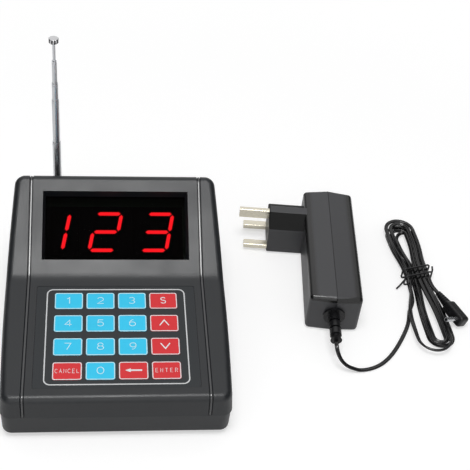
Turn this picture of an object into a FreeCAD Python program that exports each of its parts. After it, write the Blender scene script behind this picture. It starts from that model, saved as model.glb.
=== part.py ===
import FreeCAD, Part
import math
import os
import re

# Guest pager set: a console with a membrane keypad, a digit display and a telescopic
# antenna, and beside it a wall plug adapter with its cord, tied hank and coaxial plug.
# The console stands on the plane z = 0, with its keypad towards -Y and +X to its right.

SIZES = {
    "overrun": 1.0,
    # console form
    "front_half": 73.6,
    "middle_half": 76.0,
    "middle_place_share": -0.171,
    "rear_half": 74.8,
    "corner_radius": 7.0,
    "draft": 4.5,
    "parting": 20.5,
    "front_height": 36.8,
    "keypad_slope": 4.6,
    "keypad_run": 99.1,
    "display_slope": 27.93,
    "display_run": 79.3452,
    "crease_radius": 18.0,
    "rim_radius": 4.5,
    "wall": 2.2,
    "groove_place": 59.05,
    "groove_width": 2.6,
    "groove_depth": 0.9,
    "groove_floor_radius": 0.7,
    # base, feet and screws
    "foot_height": 2.5,
    "foot_radius": 6.0,
    "foot_seat": 0.8,
    "foot_across": 60.0,
    "foot_inset": 17.5,
    "base_step": 0.6,
    "base_draft": 1.5,
    "base_radius": 3.0,
    "floor_thick": 2.4,
    "lip_gap": 0.15,
    "lip_thick": 1.2,
    "lip_rise": 2.0,
    "lip_root": 3.0,
    "screw_across": 65.0,
    "screw_inset": 37.5,
    "screw_radius": 1.5,
    "screw_head_radius": 2.9,
    "screw_head_height": 2.2,
    "screw_bite": 9.0,
    "screw_sink": 5.5,
    "screw_post_radius": 3.5,
    "screw_boss_radius": 4.6,
    "screw_room": 0.2,
    "thread_room": 0.02,
    # display
    "display_width": 101.6,
    "display_height": 50.8,
    "display_low": 13.17,
    "bezel_depth": 6.5,
    "bezel_taper": 14.0,
    "lens_lap": 1.4,
    "lens_rise": 1.4,
    "lens_thick": 2.0,
    "lens_gap": 0.15,
    "skirt_wall": 2.1,
    "skirt_depth": 18.3,
    "skirt_root": 1.5,
    "digit_pitch": 36.3,
    "digit_middle": -7.1,
    "digit_rise": 36.6,
    "digit_width": 19.0,
    "digit_height": 30.0,
    "digit_stroke": 3.0,
    "digit_slant": 10.7,
    "digit_gap": 0.5,
    "digit_plate": 0.4,
    "module_height": 38.0,
    "module_gap": 0.1,
    "module_behind": 0.5,
    "board_thick": 1.6,
    "display_board_width": 118.0,
    "display_board_height": 56.0,
    "ear_place": 58.0,
    "ear_radius": 4.0,
    "ear_spread": 46.0,
    "ear_post_radius": 3.3,
    "small_screw_radius": 1.1,
    "small_screw_length": 7.0,
    "small_head_radius": 2.1,
    "small_head_height": 1.4,
    # keypad
    "recess_half": 53.2,
    "recess_low": 8.4,
    "recess_height": 83.5,
    "recess_depth": 1.9,
    "recess_corner": 1.5,
    "slab_lap": 2.0,
    "slab_thick": 2.7,
    "slab_root": 1.5,
    "sheet_gap": 0.15,
    "circuit_thick": 0.5,
    "spacer_thick": 0.85,
    "overlay_thick": 0.4,
    "key_width": 18.65,
    "key_height": 13.65,
    "key_thick": 0.5,
    "key_corner": 1.6,
    "key_gap": 0.15,
    "key_room": 0.3,
    "key_across": 21.06,
    "key_along": 19.1,
    "key_rise": 0.2,
    "dome_radius": 4.0,
    "dome_height": 0.45,
    "dome_top_share": 0.7,
    "slot_place": 79.4,
    "slot_width": 18.0,
    "slot_opening": 1.4,
    "tail_width": 16.0,
    "tail_thick": 0.3,
    "tail_gap": 0.1,
    # main board and what it carries
    "board_rise": 3.1,
    "board_half": 59.0,
    "board_length": 94.0,
    "board_inset": 5.5,
    "stand_across": 52.0,
    "stand_front_inset": 6.0,
    "stand_rear_inset": 8.0,
    "stand_radius": 3.0,
    "jack_place": 20.0,
    "jack_width": 9.0,
    "jack_length": 14.0,
    "jack_height": 11.0,
    "jack_axis": 5.0,
    "jack_wall_gap": 0.8,
    "jack_bore": 1.85,
    "jack_depth": 10.5,
    "jack_pin": 0.55,
    "jack_pin_length": 9.0,
    "jack_hole": 4.2,
    "connector_width": 20.0,
    "connector_depth": 4.0,
    "connector_height": 4.0,
    "chip_side": 14.0,
    "chip_height": 1.6,
    "capacitor_radius": 4.0,
    "capacitor_height": 11.0,
    "buzzer_radius": 6.0,
    "buzzer_height": 7.0,
    "buzzer_place": 36.0,
    "radio_width": 16.0,
    "radio_depth": 16.0,
    "radio_height": 3.0,
    "lead_radius": 0.7,
    "lead_reach": 2.0,
    # antenna mount and hinge
    "antenna_place": -41.5,
    "pivot_height": 52.0,
    "knuckle_gap": 0.5,
    "pad_radius": 7.0,
    "pad_inset": 1.3,
    "pad_thick": 5.0,
    "pad_gap": 0.1,
    "swivel_radius": 5.0,
    "swivel_thick": 2.3,
    "ear_inner": 1.35,
    "ear_outer": 2.9,
    "ear_end": 3.2,
    "mount_head_radius": 2.8,
    "mount_head": 2.3,
    "mount_head_gap": 0.05,
    "mount_radius": 1.5,
    "mount_reach": 1.9,
    "mount_room": 0.06,
    "pin_radius": 1.0,
    "pin_room": 0.05,
    "pin_grip": 0.02,
    "knuckle_half": 1.25,
    "knuckle_radius": 2.9,
    "collar_rise": 3.2,
    "collar_height": 1.3,
    "spigot_height": 1.7,
    "slide_gap": 0.05,
    # telescopic tubes
    "tube_wall": 0.35,
    "tube_step": 0.8,
    "tube_first": 5.8,
    "tube_first_length": 44.1,
    "tube_length": 42.0,
    "rise_second": 35.6,
    "rise_third": 13.8,
    "rise_fourth": 17.4,
    "rise_rod": 14.1,
    "tube_fourth_bore": 2.1,
    "crimp_drop": 1.6,
    "crimp_width": 0.7,
    "crimp_depth": 0.12,
    "tip_radius": 3.35,
    "tip_height": 3.2,
    "tip_edge": 0.5,
    # adapter
    "adapter_x": 155.0,
    "adapter_y": 3.2,
    "adapter_turn": -5.7,
    "adapter_half": 18.9,
    "adapter_length": 119.0,
    "adapter_height": 33.5,
    "adapter_draft": 1.4,
    "adapter_radius": 3.0,
    "adapter_wall": 2.2,
    "seam_half": 0.25,
    "seam_depth": 0.8,
    "block_place": 93.5,
    "block_reach": 27.0,
    "block_root": 3.4,
    "block_half": 15.3,
    "block_low": 1.0,
    "block_shoulder": 24.0,
    "block_top": 32.0,
    "block_top_half": 3.2,
    "block_radius": 1.2,
    "power_spread": 11.1,
    "power_rise": 4.6,
    "power_width": 6.35,
    "power_thick": 4.0,
    "power_length": 17.7,
    "earth_rise": 26.8,
    "earth_width": 4.0,
    "earth_thick": 8.0,
    "earth_length": 22.7,
    "pin_root": 4.0,
    "pin_chamfer": 0.9,
    "circuit_rise": 3.0,
    "circuit_half": 13.0,
    "circuit_inset": 6.0,
    "circuit_stand": 2.5,
    "circuit_stand_across": 9.0,
    "core_width": 22.0,
    "core_length": 28.0,
    "core_height": 17.0,
    "store_radius": 5.0,
    "store_length": 18.0,
    # boot
    "boot_rise": 16.75,
    "boot_flange_radius": 7.7,
    "boot_flange": 1.6,
    "boot_radius": 4.1,
    "boot_neck": 2.9,
    "boot_length": 24.0,
    "boot_segment": 5.0,
    "boot_slot": 1.5,
    "boot_bore_gap": 0.05,
    "boot_inner_radius": 5.5,
    "boot_inner_flange": 1.6,
    # cord and hank
    "cord": 3.0,
    "hank_x": 229.5,
    "hank_y": 56.0,
    "hank_turn": 3.0,
    "strand_pitch": 3.65,
    "layer_pitch": 3.65,
    "fan_inner": 3.5,
    "fan_wide": 6.0,
    "fan_share": 0.8,
    "lay_height": 1.6,
    "waist_height": 2.9,
    "hank_top": 46.5,
    "hank_bottom": 60.5,
    "layer_slip": 4.0,
    "start_across": -14.9,
    "start_along": -36.3,
    "start_height": 1.9,
    "start_lean": 19.0,
    "last_run": 11.0,
    "exit_lean": 3.0,
    "exit_shift": 0.9,
    "tie_radius": 0.7,
    "tie_gap": 0.15,
    "tie_slack": 0.5,
    # plug
    "relief_x": 240.4,
    "relief_y": 33.6,
    "relief_z": 7.6,
    "relief_aim": -66.0,
    "relief_dip": 4.0,
    "relief_length": 11.5,
    "relief_small": 2.2,
    "relief_large": 3.5,
    "relief_groove": 0.6,
    "relief_slot": 1.0,
    "plug_side": 9.0,
    "plug_length": 20.0,
    "plug_radius": 2.4,
    "plug_roll": 22.0,
    "barrel_radius": 1.75,
    "barrel_length": 11.0,
    "barrel_core": 1.2,
    "barrel_bore": 0.65,
    "barrel_place": 15.0,
    "barrel_root": 2.0,
}

# Sizes that follow from those above, each in the sheet too
drafted_height = "(front_height - parting + keypad_run * sin(keypad_slope) + display_run * sin(display_slope))"
FOLLOWING = {
    "console_depth": (
        "=(front_height - parting) * tan(draft) + keypad_run * cos(keypad_slope)"
        f" + display_run * cos(display_slope) + {drafted_height} * tan(draft)"
    ),
    "foot_along": "=console_depth / 2 - foot_inset",
    "screw_along": "=console_depth / 2 - screw_inset",
    "board_rear": "=console_depth / 2 - board_inset",
    "board_front": "=board_rear - board_length",
    "stand_rear": "=board_rear - stand_rear_inset",
    "stand_front": "=board_front + stand_front_inset",
    "pad_outer": "=console_depth / 2 - pad_inset",
    "pad_inner": "=pad_outer - pad_thick",
    "pivot_depth": "=pad_outer + pad_gap + swivel_thick + knuckle_gap + knuckle_radius",
}

doc = FreeCAD.newDocument("guest_pager")
sheet = doc.addObject("Spreadsheet::Sheet", "dims")
for row, (name, size) in enumerate((SIZES | FOLLOWING).items(), start=1):
    sheet.set(f"A{row}", str(size))
    sheet.setAlias(f"A{row}", name)
doc.recompute()


class Sheet:
    """The sheet's values by name."""

    def __getattr__(self, name):
        return float(sheet.get(name))


d = Sheet()
nodes = {}
vector = FreeCAD.Vector
across = vector(1, 0, 0)
along = vector(0, 1, 0)
upward = vector(0, 0, 1)
turns = {
    "x": FreeCAD.Rotation(along, 90),
    "y": FreeCAD.Rotation(across, -90),
    "z": FreeCAD.Rotation(),
}


def radians(angle):
    return math.radians(angle)


def bound(text):
    """The text with each size's name read from the sheet."""
    names = SIZES | FOLLOWING
    return re.sub(r"[a-z_]+", lambda word: "dims." + word[0] if word[0] in names else word[0], text)


def bind(item, **texts):
    for name, text in texts.items():
        item.setExpression(name, bound(text))
    return item


def moved(item, place, turn=None):
    """The item with its own place bound to sizes."""
    if turn:
        item.Placement = FreeCAD.Placement(vector(), turn)
    for axis, text in zip("xyz", place):
        item.setExpression("Placement.Base." + axis, bound(text))
    return item


def block(low, size):
    item = doc.addObject("Part::Box", "Block")
    bind(item, Length=size[0], Width=size[1], Height=size[2])
    return moved(item, low)


def rod(low, radius, length, axis="z"):
    item = doc.addObject("Part::Cylinder", "Rod")
    bind(item, Radius=radius, Height=length)
    return moved(item, low, turns[axis])


def cone(low, first, second, length, axis="z"):
    item = doc.addObject("Part::Cone", "Cone")
    bind(item, Radius1=first, Radius2=second, Height=length)
    return moved(item, low, turns[axis])


def group(items):
    item = doc.addObject("Part::Compound", "Group")
    item.Links = list(items)
    return item


def joined(*items):
    if len(items) == 1:
        return items[0]
    item = doc.addObject("Part::MultiFuse", "Joined")
    item.Shapes = list(items)
    return item


def cut(base, *tools):
    item = doc.addObject("Part::Cut", "Cut")
    item.Base = base
    item.Tool = joined(*tools)
    return item


def common(first, second):
    item = doc.addObject("Part::MultiCommon", "Common")
    item.Shapes = [first, second]
    return item


def placed(item, frame):
    """The item in a frame, by way of a group that holds it."""
    holder = group([item])
    holder.Placement = frame
    return holder


def feature(shape):
    item = doc.addObject("Part::Feature", "Form")
    item.Shape = shape
    return item


def rounded(item, radius, chosen):
    """The item with every chosen edge rounded."""
    doc.recompute()
    edges = [number for number, edge in enumerate(item.Shape.Edges, start=1) if chosen(edge)]
    result = doc.addObject("Part::Fillet", "Rounded")
    result.Base = item
    result.Edges = [(number, radius, radius) for number in edges]
    return result


def runs_along(axis):
    def chosen(edge):
        first, last = (edge.valueAt(end) for end in edge.ParameterRange)
        return (last - first).getAngle(axis) % math.pi < 0.01 or (last - first).getAngle(-axis) < 0.01
    return chosen


def node(name, item, frame=None):
    """The sub-part of that name, in a frame of the set."""
    holder = doc.addObject("Part::Compound", name)
    holder.Links = [item]
    holder.Label = name
    if frame:
        holder.Placement = frame
    nodes[name] = holder
    return holder


def tilted(y, z, slope):
    return FreeCAD.Placement(vector(0, y, z), FreeCAD.Rotation(across, slope))


# Frames of the two slopes: the keypad's starts at the front edge, the display's at the crease

front_edge = -d.console_depth / 2 + (d.front_height - d.parting) * math.tan(radians(d.draft))
crease_y = front_edge + d.keypad_run * math.cos(radians(d.keypad_slope))
crease_z = d.front_height + d.keypad_run * math.sin(radians(d.keypad_slope))
keypad_frame = tilted(front_edge, d.front_height, d.keypad_slope)
display_frame = tilted(crease_y, crease_z, d.display_slope)
top = crease_z + d.console_depth * math.tan(radians(d.display_slope))


# Console form


def outline(inset, shrink, height):
    """The plan outline inside the housing's, with bowed sides and round corners."""
    total = inset + shrink
    half_depth = d.console_depth / 2 - total
    middle_y = d.console_depth * d.middle_place_share / 2
    bow = Part.Arc(
        vector(d.front_half - total, -half_depth, 0),
        vector(d.middle_half - total, middle_y, 0),
        vector(d.rear_half - total, half_depth, 0),
    ).toShape().Curve
    centre, bow_radius = bow.Center, bow.Radius
    radius = d.corner_radius - inset
    points = []
    for side in (-1, 1):
        corner_y = side * (half_depth - radius)
        reach = math.sqrt((bow_radius - radius) ** 2 - (corner_y - centre.y) ** 2)
        corner = vector(centre.x + reach, corner_y, 0)
        outward = (corner - centre).normalize()
        flat = corner + vector(0, side * radius, 0)
        middle = corner + (outward + vector(0, side, 0)).normalize() * radius
        points.append((flat, middle, corner + outward * radius))
    (front, front_middle, front_end), (rear, rlens_middle, rear_end) = points
    side_middle = centre + ((front_end + rear_end) / 2 - centre).normalize() * bow_radius
    right = [(front, front_middle, front_end), (front_end, side_middle, rear_end), (rear_end, rlens_middle, rear)]
    lift = vector(0, 0, height)

    def mirrored(point):
        return vector(-point.x, point.y, point.z)

    edges = [Part.LineSegment(mirrored(front) + lift, front + lift).toShape()]
    edges += [Part.Arc(*(point + lift for point in arc)).toShape() for arc in right]
    edges.append(Part.LineSegment(rear + lift, mirrored(rear) + lift).toShape())
    edges += [Part.Arc(*(mirrored(point) + lift for point in reversed(arc))).toShape() for arc in reversed(right)]
    return Part.Wire(edges)


def drafted(inset, low, high, slope, middle):
    """A solid between two outlines whose walls lean in by the slope from one height."""
    shrinks = [(height - middle) * math.tan(radians(slope)) for height in (low, high)]
    wires = [outline(inset, shrink, height) for shrink, height in zip(shrinks, (low, high))]
    return Part.makeLoft(wires, True, True)


def profile(inset, low):
    """The side profile: keypad slope, round crease and display slope, above a flat bottom."""
    lower, upper = radians(d.keypad_slope), radians(d.display_slope)
    first = vector(0, math.cos(lower), math.sin(lower))
    second = vector(0, math.cos(upper), math.sin(upper))
    turn = upper - lower
    crease = vector(0, crease_y, crease_z) - vector(0, -math.sin(lower), math.cos(lower)) * inset
    crease += first * inset * math.tan(turn / 2)
    radius = d.crease_radius + inset
    tangent = radius * math.tan(turn / 2)
    start, end = crease - first * tangent, crease + second * tangent
    arc_middle = crease + (second - first).normalize() * (radius / math.cos(turn / 2) - radius)
    far = d.console_depth
    points = [
        vector(0, -far, low),
        crease - first * far,
        start,
        end,
        crease + second * far,
        vector(0, far, low),
    ]
    edges = [Part.LineSegment(points[0], points[1]).toShape(), Part.LineSegment(points[1], start).toShape()]
    edges.append(Part.Arc(start, arc_middle, end).toShape())
    edges += [Part.LineSegment(points[index], points[index + 1]).toShape() for index in (3, 4)]
    edges.append(Part.LineSegment(points[5], points[0]).toShape())
    return Part.Face(Part.Wire(edges))


def housing_form(inset, low):
    """The upper housing's outer form, or one inside it, down to a height."""
    body = drafted(inset, low, top, d.draft, d.parting)
    side = profile(inset, low - d.overrun)
    width = d.middle_half * 2
    side.translate(vector(-width, 0, 0))
    body = body.common(side.extrude(vector(width * 2, 0, 0)))
    slopes = [face for face in body.Faces if face.normalAt(0, 0).z > math.cos(radians(45))]
    edges = [edge for face in slopes for edge in face.Edges]
    rim = [edge for edge in edges if sum(edge.isSame(other) for other in edges) == 1]
    return body.makeFillet(d.rim_radius - inset, rim)


def groove_tool(place):
    """What a groove takes away: a slab round the form inside it, with a round floor."""
    span = d.console_depth * 2
    corner = vector(place - d.groove_width / 2, -d.console_depth, d.parting - d.overrun)
    slab = Part.makeBox(d.groove_width, span, span, corner)
    tool = slab.cut(housing_form(d.groove_depth, d.parting - 2 * d.overrun))
    sides = [face for face in tool.Faces if abs(abs(face.normalAt(0, 0).x) - 1) < 1e-6]
    floor = [
        edge for face in sides for edge in face.Edges
        if edge.CenterOfMass.z > d.parting and abs(edge.CenterOfMass.y) < d.console_depth / 2
    ]
    return tool.makeFillet(d.groove_floor_radius, floor)


# Upper housing


def upper_housing():
    outer = feature(housing_form(0, d.parting))
    inner = feature(housing_form(d.wall, d.parting - d.overrun))
    middle = feature(housing_form(d.wall / 2, d.parting))
    posts = [
        rod((f"{side} * screw_across", f"{end} * screw_along", "parting"), "screw_post_radius", "console_depth")
        for side in (-1, 1) for end in (-1, 1)
    ]
    skirt = block(
        (f"-{skirt_half}", skirt_low, "-skirt_depth"),
        (f"2 * {skirt_half}", skirt_height, "skirt_depth - skirt_root"),
    )
    ears = [
        rod((f"{side} * ear_place", f"{lens_middle} + {end} * ear_spread / 2", "-skirt_depth"),
            "ear_post_radius", "skirt_depth - skirt_root")
        for side in (-1, 1) for end in (-1, 1)
    ]
    slab = block(
        ("-recess_half - slab_lap", "recess_low - slab_lap", "-slab_root - slab_thick"),
        ("2 * (recess_half + slab_lap)", "recess_height + 2 * slab_lap", "slab_thick"),
    )
    pad = rod(("antenna_place", "pad_inner", "pivot_height"), "pad_radius", "pad_outer - pad_inner", "y")
    inside = common(
        joined(*posts, placed(joined(skirt, *ears), display_frame), placed(slab, keypad_frame)),
        middle,
    )
    body = joined(cut(outer, inner), inside, pad)
    tools = [feature(groove_tool(side * d.groove_place)) for side in (-1, 1)]
    tools.append(placed(joined(*display_openings()), display_frame))
    tools.append(placed(joined(*keypad_openings()), keypad_frame))
    tools.append(
        rod(("antenna_place", "pad_inner - overrun", "pivot_height"), "mount_radius + mount_room",
            "pad_outer - pad_inner + 2 * overrun", "y")
    )
    tools += [
        rod((f"{side} * screw_across", f"{end} * screw_along", "parting - overrun"),
            "screw_radius + thread_room", "screw_bite + overrun + screw_room")
        for side in (-1, 1) for end in (-1, 1)
    ]
    return cut(body, *tools)


lens_half = "(display_width / 2 + lens_lap)"
lens_height = "(display_height + 2 * lens_rise)"
lens_middle = "(display_low + display_height / 2)"
skirt_half = "(display_width / 2 + lens_lap + lens_gap + skirt_wall)"
skirt_height = "(display_height + 2 * (lens_rise + lens_gap + skirt_wall))"
skirt_low = "(display_low - lens_rise - lens_gap - skirt_wall)"


def display_openings():
    """The tapered window, the pocket behind it and the holes for the board's screws."""
    narrow = "bezel_depth * tan(bezel_taper)"
    window = doc.addObject("Part::Wedge", "Window")
    bind(
        window,
        Xmin=f"-display_width / 2 + {narrow}",
        Xmax=f"display_width / 2 - {narrow}",
        X2min="-display_width / 2 - overrun * tan(bezel_taper)",
        X2max="display_width / 2 + overrun * tan(bezel_taper)",
        Zmin=f"-display_height / 2 + {narrow}",
        Zmax=f"display_height / 2 - {narrow}",
        Z2min="-display_height / 2 - overrun * tan(bezel_taper)",
        Z2max="display_height / 2 + overrun * tan(bezel_taper)",
        Ymin="0",
        Ymax="bezel_depth + overrun",
    )
    moved(window, ("0", lens_middle, "-bezel_depth"), FreeCAD.Rotation(across, 90))
    pocket = block(
        (f"-{lens_half} - lens_gap", "display_low - lens_rise - lens_gap", "-skirt_depth - overrun"),
        (f"2 * ({lens_half} + lens_gap)", f"{lens_height} + 2 * lens_gap", "skirt_depth + overrun - bezel_depth"),
    )
    holes = [
        rod((f"{side} * ear_place", f"{lens_middle} + {end} * ear_spread / 2", "-skirt_depth - overrun"),
            "small_screw_radius + thread_room", "small_screw_length - board_thick + overrun + screw_room")
        for side in (-1, 1) for end in (-1, 1)
    ]
    return [window, pocket, *holes]


def keypad_openings():
    """The recess for the keypad and the slot for its tail."""
    recess = block(
        ("-recess_half", "recess_low", "-recess_depth"),
        ("2 * recess_half", "recess_height", "recess_depth + overrun"),
    )
    recess = rounded(recess, d.recess_corner, runs_along(upward))
    slot = block(
        ("-slot_width / 2", "recess_low + slot_place", "-slab_root - slab_thick - overrun"),
        ("slot_width", "slot_opening", "slab_root + slab_thick + overrun"),
    )
    return [recess, slot]


node("upper_housing", upper_housing())


# Base housing, feet and screws


def base_housing():
    low = d.foot_height
    outer = drafted(d.base_step, low, d.parting, -d.base_draft, d.parting)
    bottom = [edge for edge in outer.Edges if edge.BoundBox.ZMax < low + d.overrun / 2]
    outer = outer.makeFillet(d.base_radius, bottom)
    inner = drafted(
        d.base_step + d.wall, low + d.floor_thick, d.parting + d.overrun, -d.base_draft, d.parting
    )
    lip_inset = d.wall + d.lip_gap
    lip_low, lip_high = d.parting - d.lip_root, d.parting + d.lip_rise
    lip = drafted(lip_inset, lip_low, lip_high, d.draft, d.parting)
    lip = lip.cut(drafted(lip_inset + d.lip_thick, lip_low - d.overrun, lip_high + d.overrun, d.draft, d.parting))
    keep = drafted(d.base_step + d.wall / 2, lip_low, lip_high, -d.base_draft, d.parting)
    lip = lip.common(keep)
    floor = "foot_height + floor_thick"
    bosses = [
        rod((f"{side} * screw_across", f"{end} * screw_along", "foot_height"), "screw_boss_radius",
            "parting - foot_height")
        for side in (-1, 1) for end in (-1, 1)
    ]
    stands = [
        rod((f"{side} * stand_across", place, floor), "stand_radius", "board_rise")
        for side in (-1, 1) for place in ("stand_front", "stand_rear")
    ]
    body = joined(cut(feature(outer), feature(inner)), feature(lip), *bosses, *stands)
    tools = [
        rod((f"{side} * screw_across", f"{end} * screw_along", "foot_height - overrun"),
            "screw_head_radius + screw_room", "screw_sink + overrun")
        for side in (-1, 1) for end in (-1, 1)
    ]
    tools += [
        rod((f"{side} * screw_across", f"{end} * screw_along", "foot_height"),
            "screw_radius + screw_room", "parting")
        for side in (-1, 1) for end in (-1, 1)
    ]
    tools += [
        rod((f"{side} * foot_across", f"{end} * foot_along", "foot_height - overrun"), "foot_radius",
            "foot_seat + overrun")
        for side in (-1, 1) for end in (-1, 1)
    ]
    tools += [
        rod((f"{side} * stand_across", place, f"{floor} + board_rise + overrun"), "small_screw_radius + thread_room",
            "small_screw_length - board_thick + overrun + screw_room", "down")
        for side in (-1, 1) for place in ("stand_front", "stand_rear")
    ]
    tools.append(
        rod(("jack_place", "board_rear", f"{board_top} + jack_axis"), "jack_hole", "console_depth / 2", "y")
    )
    return cut(body, *tools)


board_top = "(foot_height + floor_thick + board_rise + board_thick)"
turns["down"] = FreeCAD.Rotation(across, 180)
node("base_housing", base_housing())

node("rubber_feet", group(
    rod((f"{side} * foot_across", f"{end} * foot_along", "0"), "foot_radius", "foot_height + foot_seat")
    for side in (-1, 1) for end in (-1, 1)
))


def screw(place, radius, length, head_radius, head_height, axis="z", head="z"):
    """A screw whose head lies against a seat at the place and whose shank runs on from it."""
    return joined(
        rod(place, radius, length, axis),
        rod(place, head_radius, head_height, head),
    )


node("case_screws", group(
    screw((f"{side} * screw_across", f"{end} * screw_along", "foot_height + screw_sink"),
          "screw_radius", "parting + screw_bite - foot_height - screw_sink",
          "screw_head_radius", "screw_head_height", "z", "down")
    for side in (-1, 1) for end in (-1, 1)
))


# Display: lens, digits and board

node("display_lens", block(
    (f"-{lens_half}", "display_low - lens_rise", "-bezel_depth - lens_thick"),
    (f"2 * {lens_half}", lens_height, "lens_thick"),
), display_frame)

module_front = "(-bezel_depth - lens_thick - module_behind)"
modules = common(
    group(
        block(
            (f"digit_middle + {place} * digit_pitch - (digit_pitch - module_gap) / 2",
             "digit_rise - module_height / 2", "-skirt_depth"),
            ("digit_pitch - module_gap", "module_height", f"skirt_depth + {module_front}"),
        )
        for place in (-1, 0, 1)
    ),
    block((f"-{lens_half}", "display_low", "-skirt_depth"), (f"2 * {lens_half}", "display_height", "skirt_depth")),
)
node("digit_modules", modules, display_frame)


def segment(name):
    """One bar of a digit: its middle in the digit's cell, and whether it stands upright."""
    side = d.digit_width / 2 - d.digit_stroke / 2
    rise = d.digit_height / 2 - d.digit_stroke / 2
    return {
        "a": (0, rise, False), "b": (side, rise / 2, True), "c": (side, -rise / 2, True),
        "d": (0, -rise, False), "e": (-side, -rise / 2, True), "g": (0, 0, False),
    }[name]


def lit_bar(name, middle):
    """A slanted bar with pointed ends, lying on a digit's face."""
    x, y, upright = segment(name)
    half = (d.digit_height - d.digit_stroke) / 4 if upright else (d.digit_width - d.digit_stroke) / 2
    half -= d.digit_gap / 2
    stroke = d.digit_stroke / 2
    corners = [(-half, 0), (stroke - half, stroke), (half - stroke, stroke),
               (half, 0), (half - stroke, -stroke), (stroke - half, -stroke)]
    if upright:
        corners = [(depth, length) for length, depth in corners]
    front = -d.bezel_depth - d.lens_thick - d.module_behind
    points = [
        vector(middle + x + u + (y + v) * math.tan(radians(d.digit_slant)), d.digit_rise + y + v, front)
        for u, v in corners
    ]
    return Part.Face(Part.makePolygon(points + points[:1])).extrude(vector(0, 0, d.digit_plate))


digits = ("bc", "abged", "abgcd")
bars = [
    feature(lit_bar(name, d.digit_middle + (place - 1) * d.digit_pitch))
    for place, names in enumerate(digits) for name in names
]
node("lit_segments", group(bars), display_frame)

ear_places = [(side, end) for side in (-1, 1) for end in (-1, 1)]
display_board = joined(
    block(
        ("-display_board_width / 2", f"{lens_middle} - display_board_height / 2", "-skirt_depth - board_thick"),
        ("display_board_width", "display_board_height", "board_thick"),
    ),
    *(rod((f"{side} * ear_place", f"{lens_middle} + {end} * ear_spread / 2", "-skirt_depth - board_thick"),
          "ear_radius", "board_thick") for side, end in ear_places),
)
ear_holes = [
    rod((f"{side} * ear_place", f"{lens_middle} + {end} * ear_spread / 2", "-skirt_depth - board_thick - overrun"),
        "small_screw_radius + screw_room", "board_thick + 2 * overrun")
    for side, end in ear_places
]
node("display_board", cut(display_board, *ear_holes), display_frame)

stand_places = [(side, place) for side in (-1, 1) for place in ("stand_front", "stand_rear")]
node("display_screws", group(
    screw((f"{side} * ear_place", f"{lens_middle} + {end} * ear_spread / 2", "-skirt_depth - board_thick"),
          "small_screw_radius", "small_screw_length", "small_head_radius", "small_head_height", "z", "down")
    for side, end in ear_places
), display_frame)
node("board_screws", group(
    screw((f"{side} * stand_across", place, board_top), "small_screw_radius", "small_screw_length",
          "small_head_radius", "small_head_height", "down", "z")
    for side, place in stand_places
))


# Keypad: sheets, domes and keys in rows from the far one to the near one

KEY_ROWS = (
    ("key_1", "key_2", "key_3", "key_s"),
    ("key_4", "key_5", "key_6", "key_up"),
    ("key_7", "key_8", "key_9", "key_down"),
    ("key_cancel", "key_0", "key_left", "key_enter"),
)
key_places = {
    name: (f"({column - 1.5} * key_across)",
           f"(recess_low + recess_height / 2 + key_rise + {1.5 - line} * key_along)")
    for line, names in enumerate(KEY_ROWS) for column, name in enumerate(names)
}


def keypad_sheet(low, thick):
    sheet_block = block(
        ("-recess_half + sheet_gap", "recess_low + sheet_gap", low),
        ("2 * (recess_half - sheet_gap)", "recess_height - 2 * sheet_gap", thick),
    )
    return rounded(sheet_block, d.recess_corner, runs_along(upward))


def key_block(name, low, thick, room):
    x, y = key_places[name]
    item = block(
        (f"{x} - key_width / 2 - {room}", f"{y} - key_height / 2 - {room}", low),
        (f"key_width + 2 * {room}", f"key_height + 2 * {room}", thick),
    )
    return rounded(item, d.key_corner, runs_along(upward))


node("keypad_circuit", keypad_sheet("-recess_depth", "circuit_thick"), keypad_frame)
spacer_low = "(-recess_depth + circuit_thick)"
overlay_low = "(-recess_depth + circuit_thick + spacer_thick)"
spacer = cut(
    keypad_sheet(spacer_low, "spacer_thick"),
    *(key_block(name, f"{spacer_low} - overrun", "spacer_thick + 2 * overrun", "key_room") for name in key_places),
)
node("keypad_spacer", spacer, keypad_frame)
overlay = cut(
    keypad_sheet(overlay_low, "overlay_thick"),
    *(key_block(name, f"{overlay_low} - overrun", "overlay_thick + 2 * overrun", "key_gap") for name in key_places),
)
node("keypad_overlay", overlay, keypad_frame)
node("snap_domes", group(
    cone((x, y, spacer_low), "dome_radius", "dome_radius * dome_top_share", "dome_height")
    for x, y in key_places.values()
), keypad_frame)
for name in key_places:
    node(name, key_block(name, overlay_low, "key_thick", "0"), keypad_frame)


# Main board and what stands on it

board = block(
    ("-board_half", "board_front", "foot_height + floor_thick + board_rise"),
    ("2 * board_half", "board_rear - board_front", "board_thick"),
)
board_holes = [
    rod((f"{side} * stand_across", place, "foot_height"), "small_screw_radius + screw_room", "parting")
    for side, place in stand_places
]
node("main_board", cut(board, *board_holes))

tail_start = keypad_frame.multVec(vector(0, d.recess_low + d.slot_place + d.slot_opening / 2, -d.recess_depth))
board_top_height = d.foot_height + d.floor_thick + d.board_rise + d.board_thick
connector = block(
    ("-connector_width / 2", f"{tail_start.y} - connector_depth / 2", board_top),
    ("connector_width", "connector_depth", "connector_height"),
)
chip_shares, capacitor_shares = (-1.5, 0.5), (1.5, 4)
chips = [
    block((f"{place} * chip_side", "board_rear / 3", board_top), ("chip_side", "chip_side", "chip_height"))
    for place in chip_shares
]
capacitors = [
    rod((f"jack_place + {place} * capacitor_radius", "board_rear / 2", board_top), "capacitor_radius",
        "capacitor_height")
    for place in capacitor_shares
]
node("board_parts", group([connector, *chips, *capacitors]))
node("buzzer", rod(("buzzer_place", "board_rear - 2 * buzzer_radius", board_top), "buzzer_radius", "buzzer_height"))
radio_middle = d.pad_inner - d.mount_head_gap - d.mount_head - d.radio_depth / 2 - d.lead_reach - 3 * d.lead_radius
node("radio_module", block(
    ("antenna_place - radio_width / 2", f"{radio_middle} - radio_depth / 2", board_top),
    ("radio_width", "radio_depth", "radio_height"),
))

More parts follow.
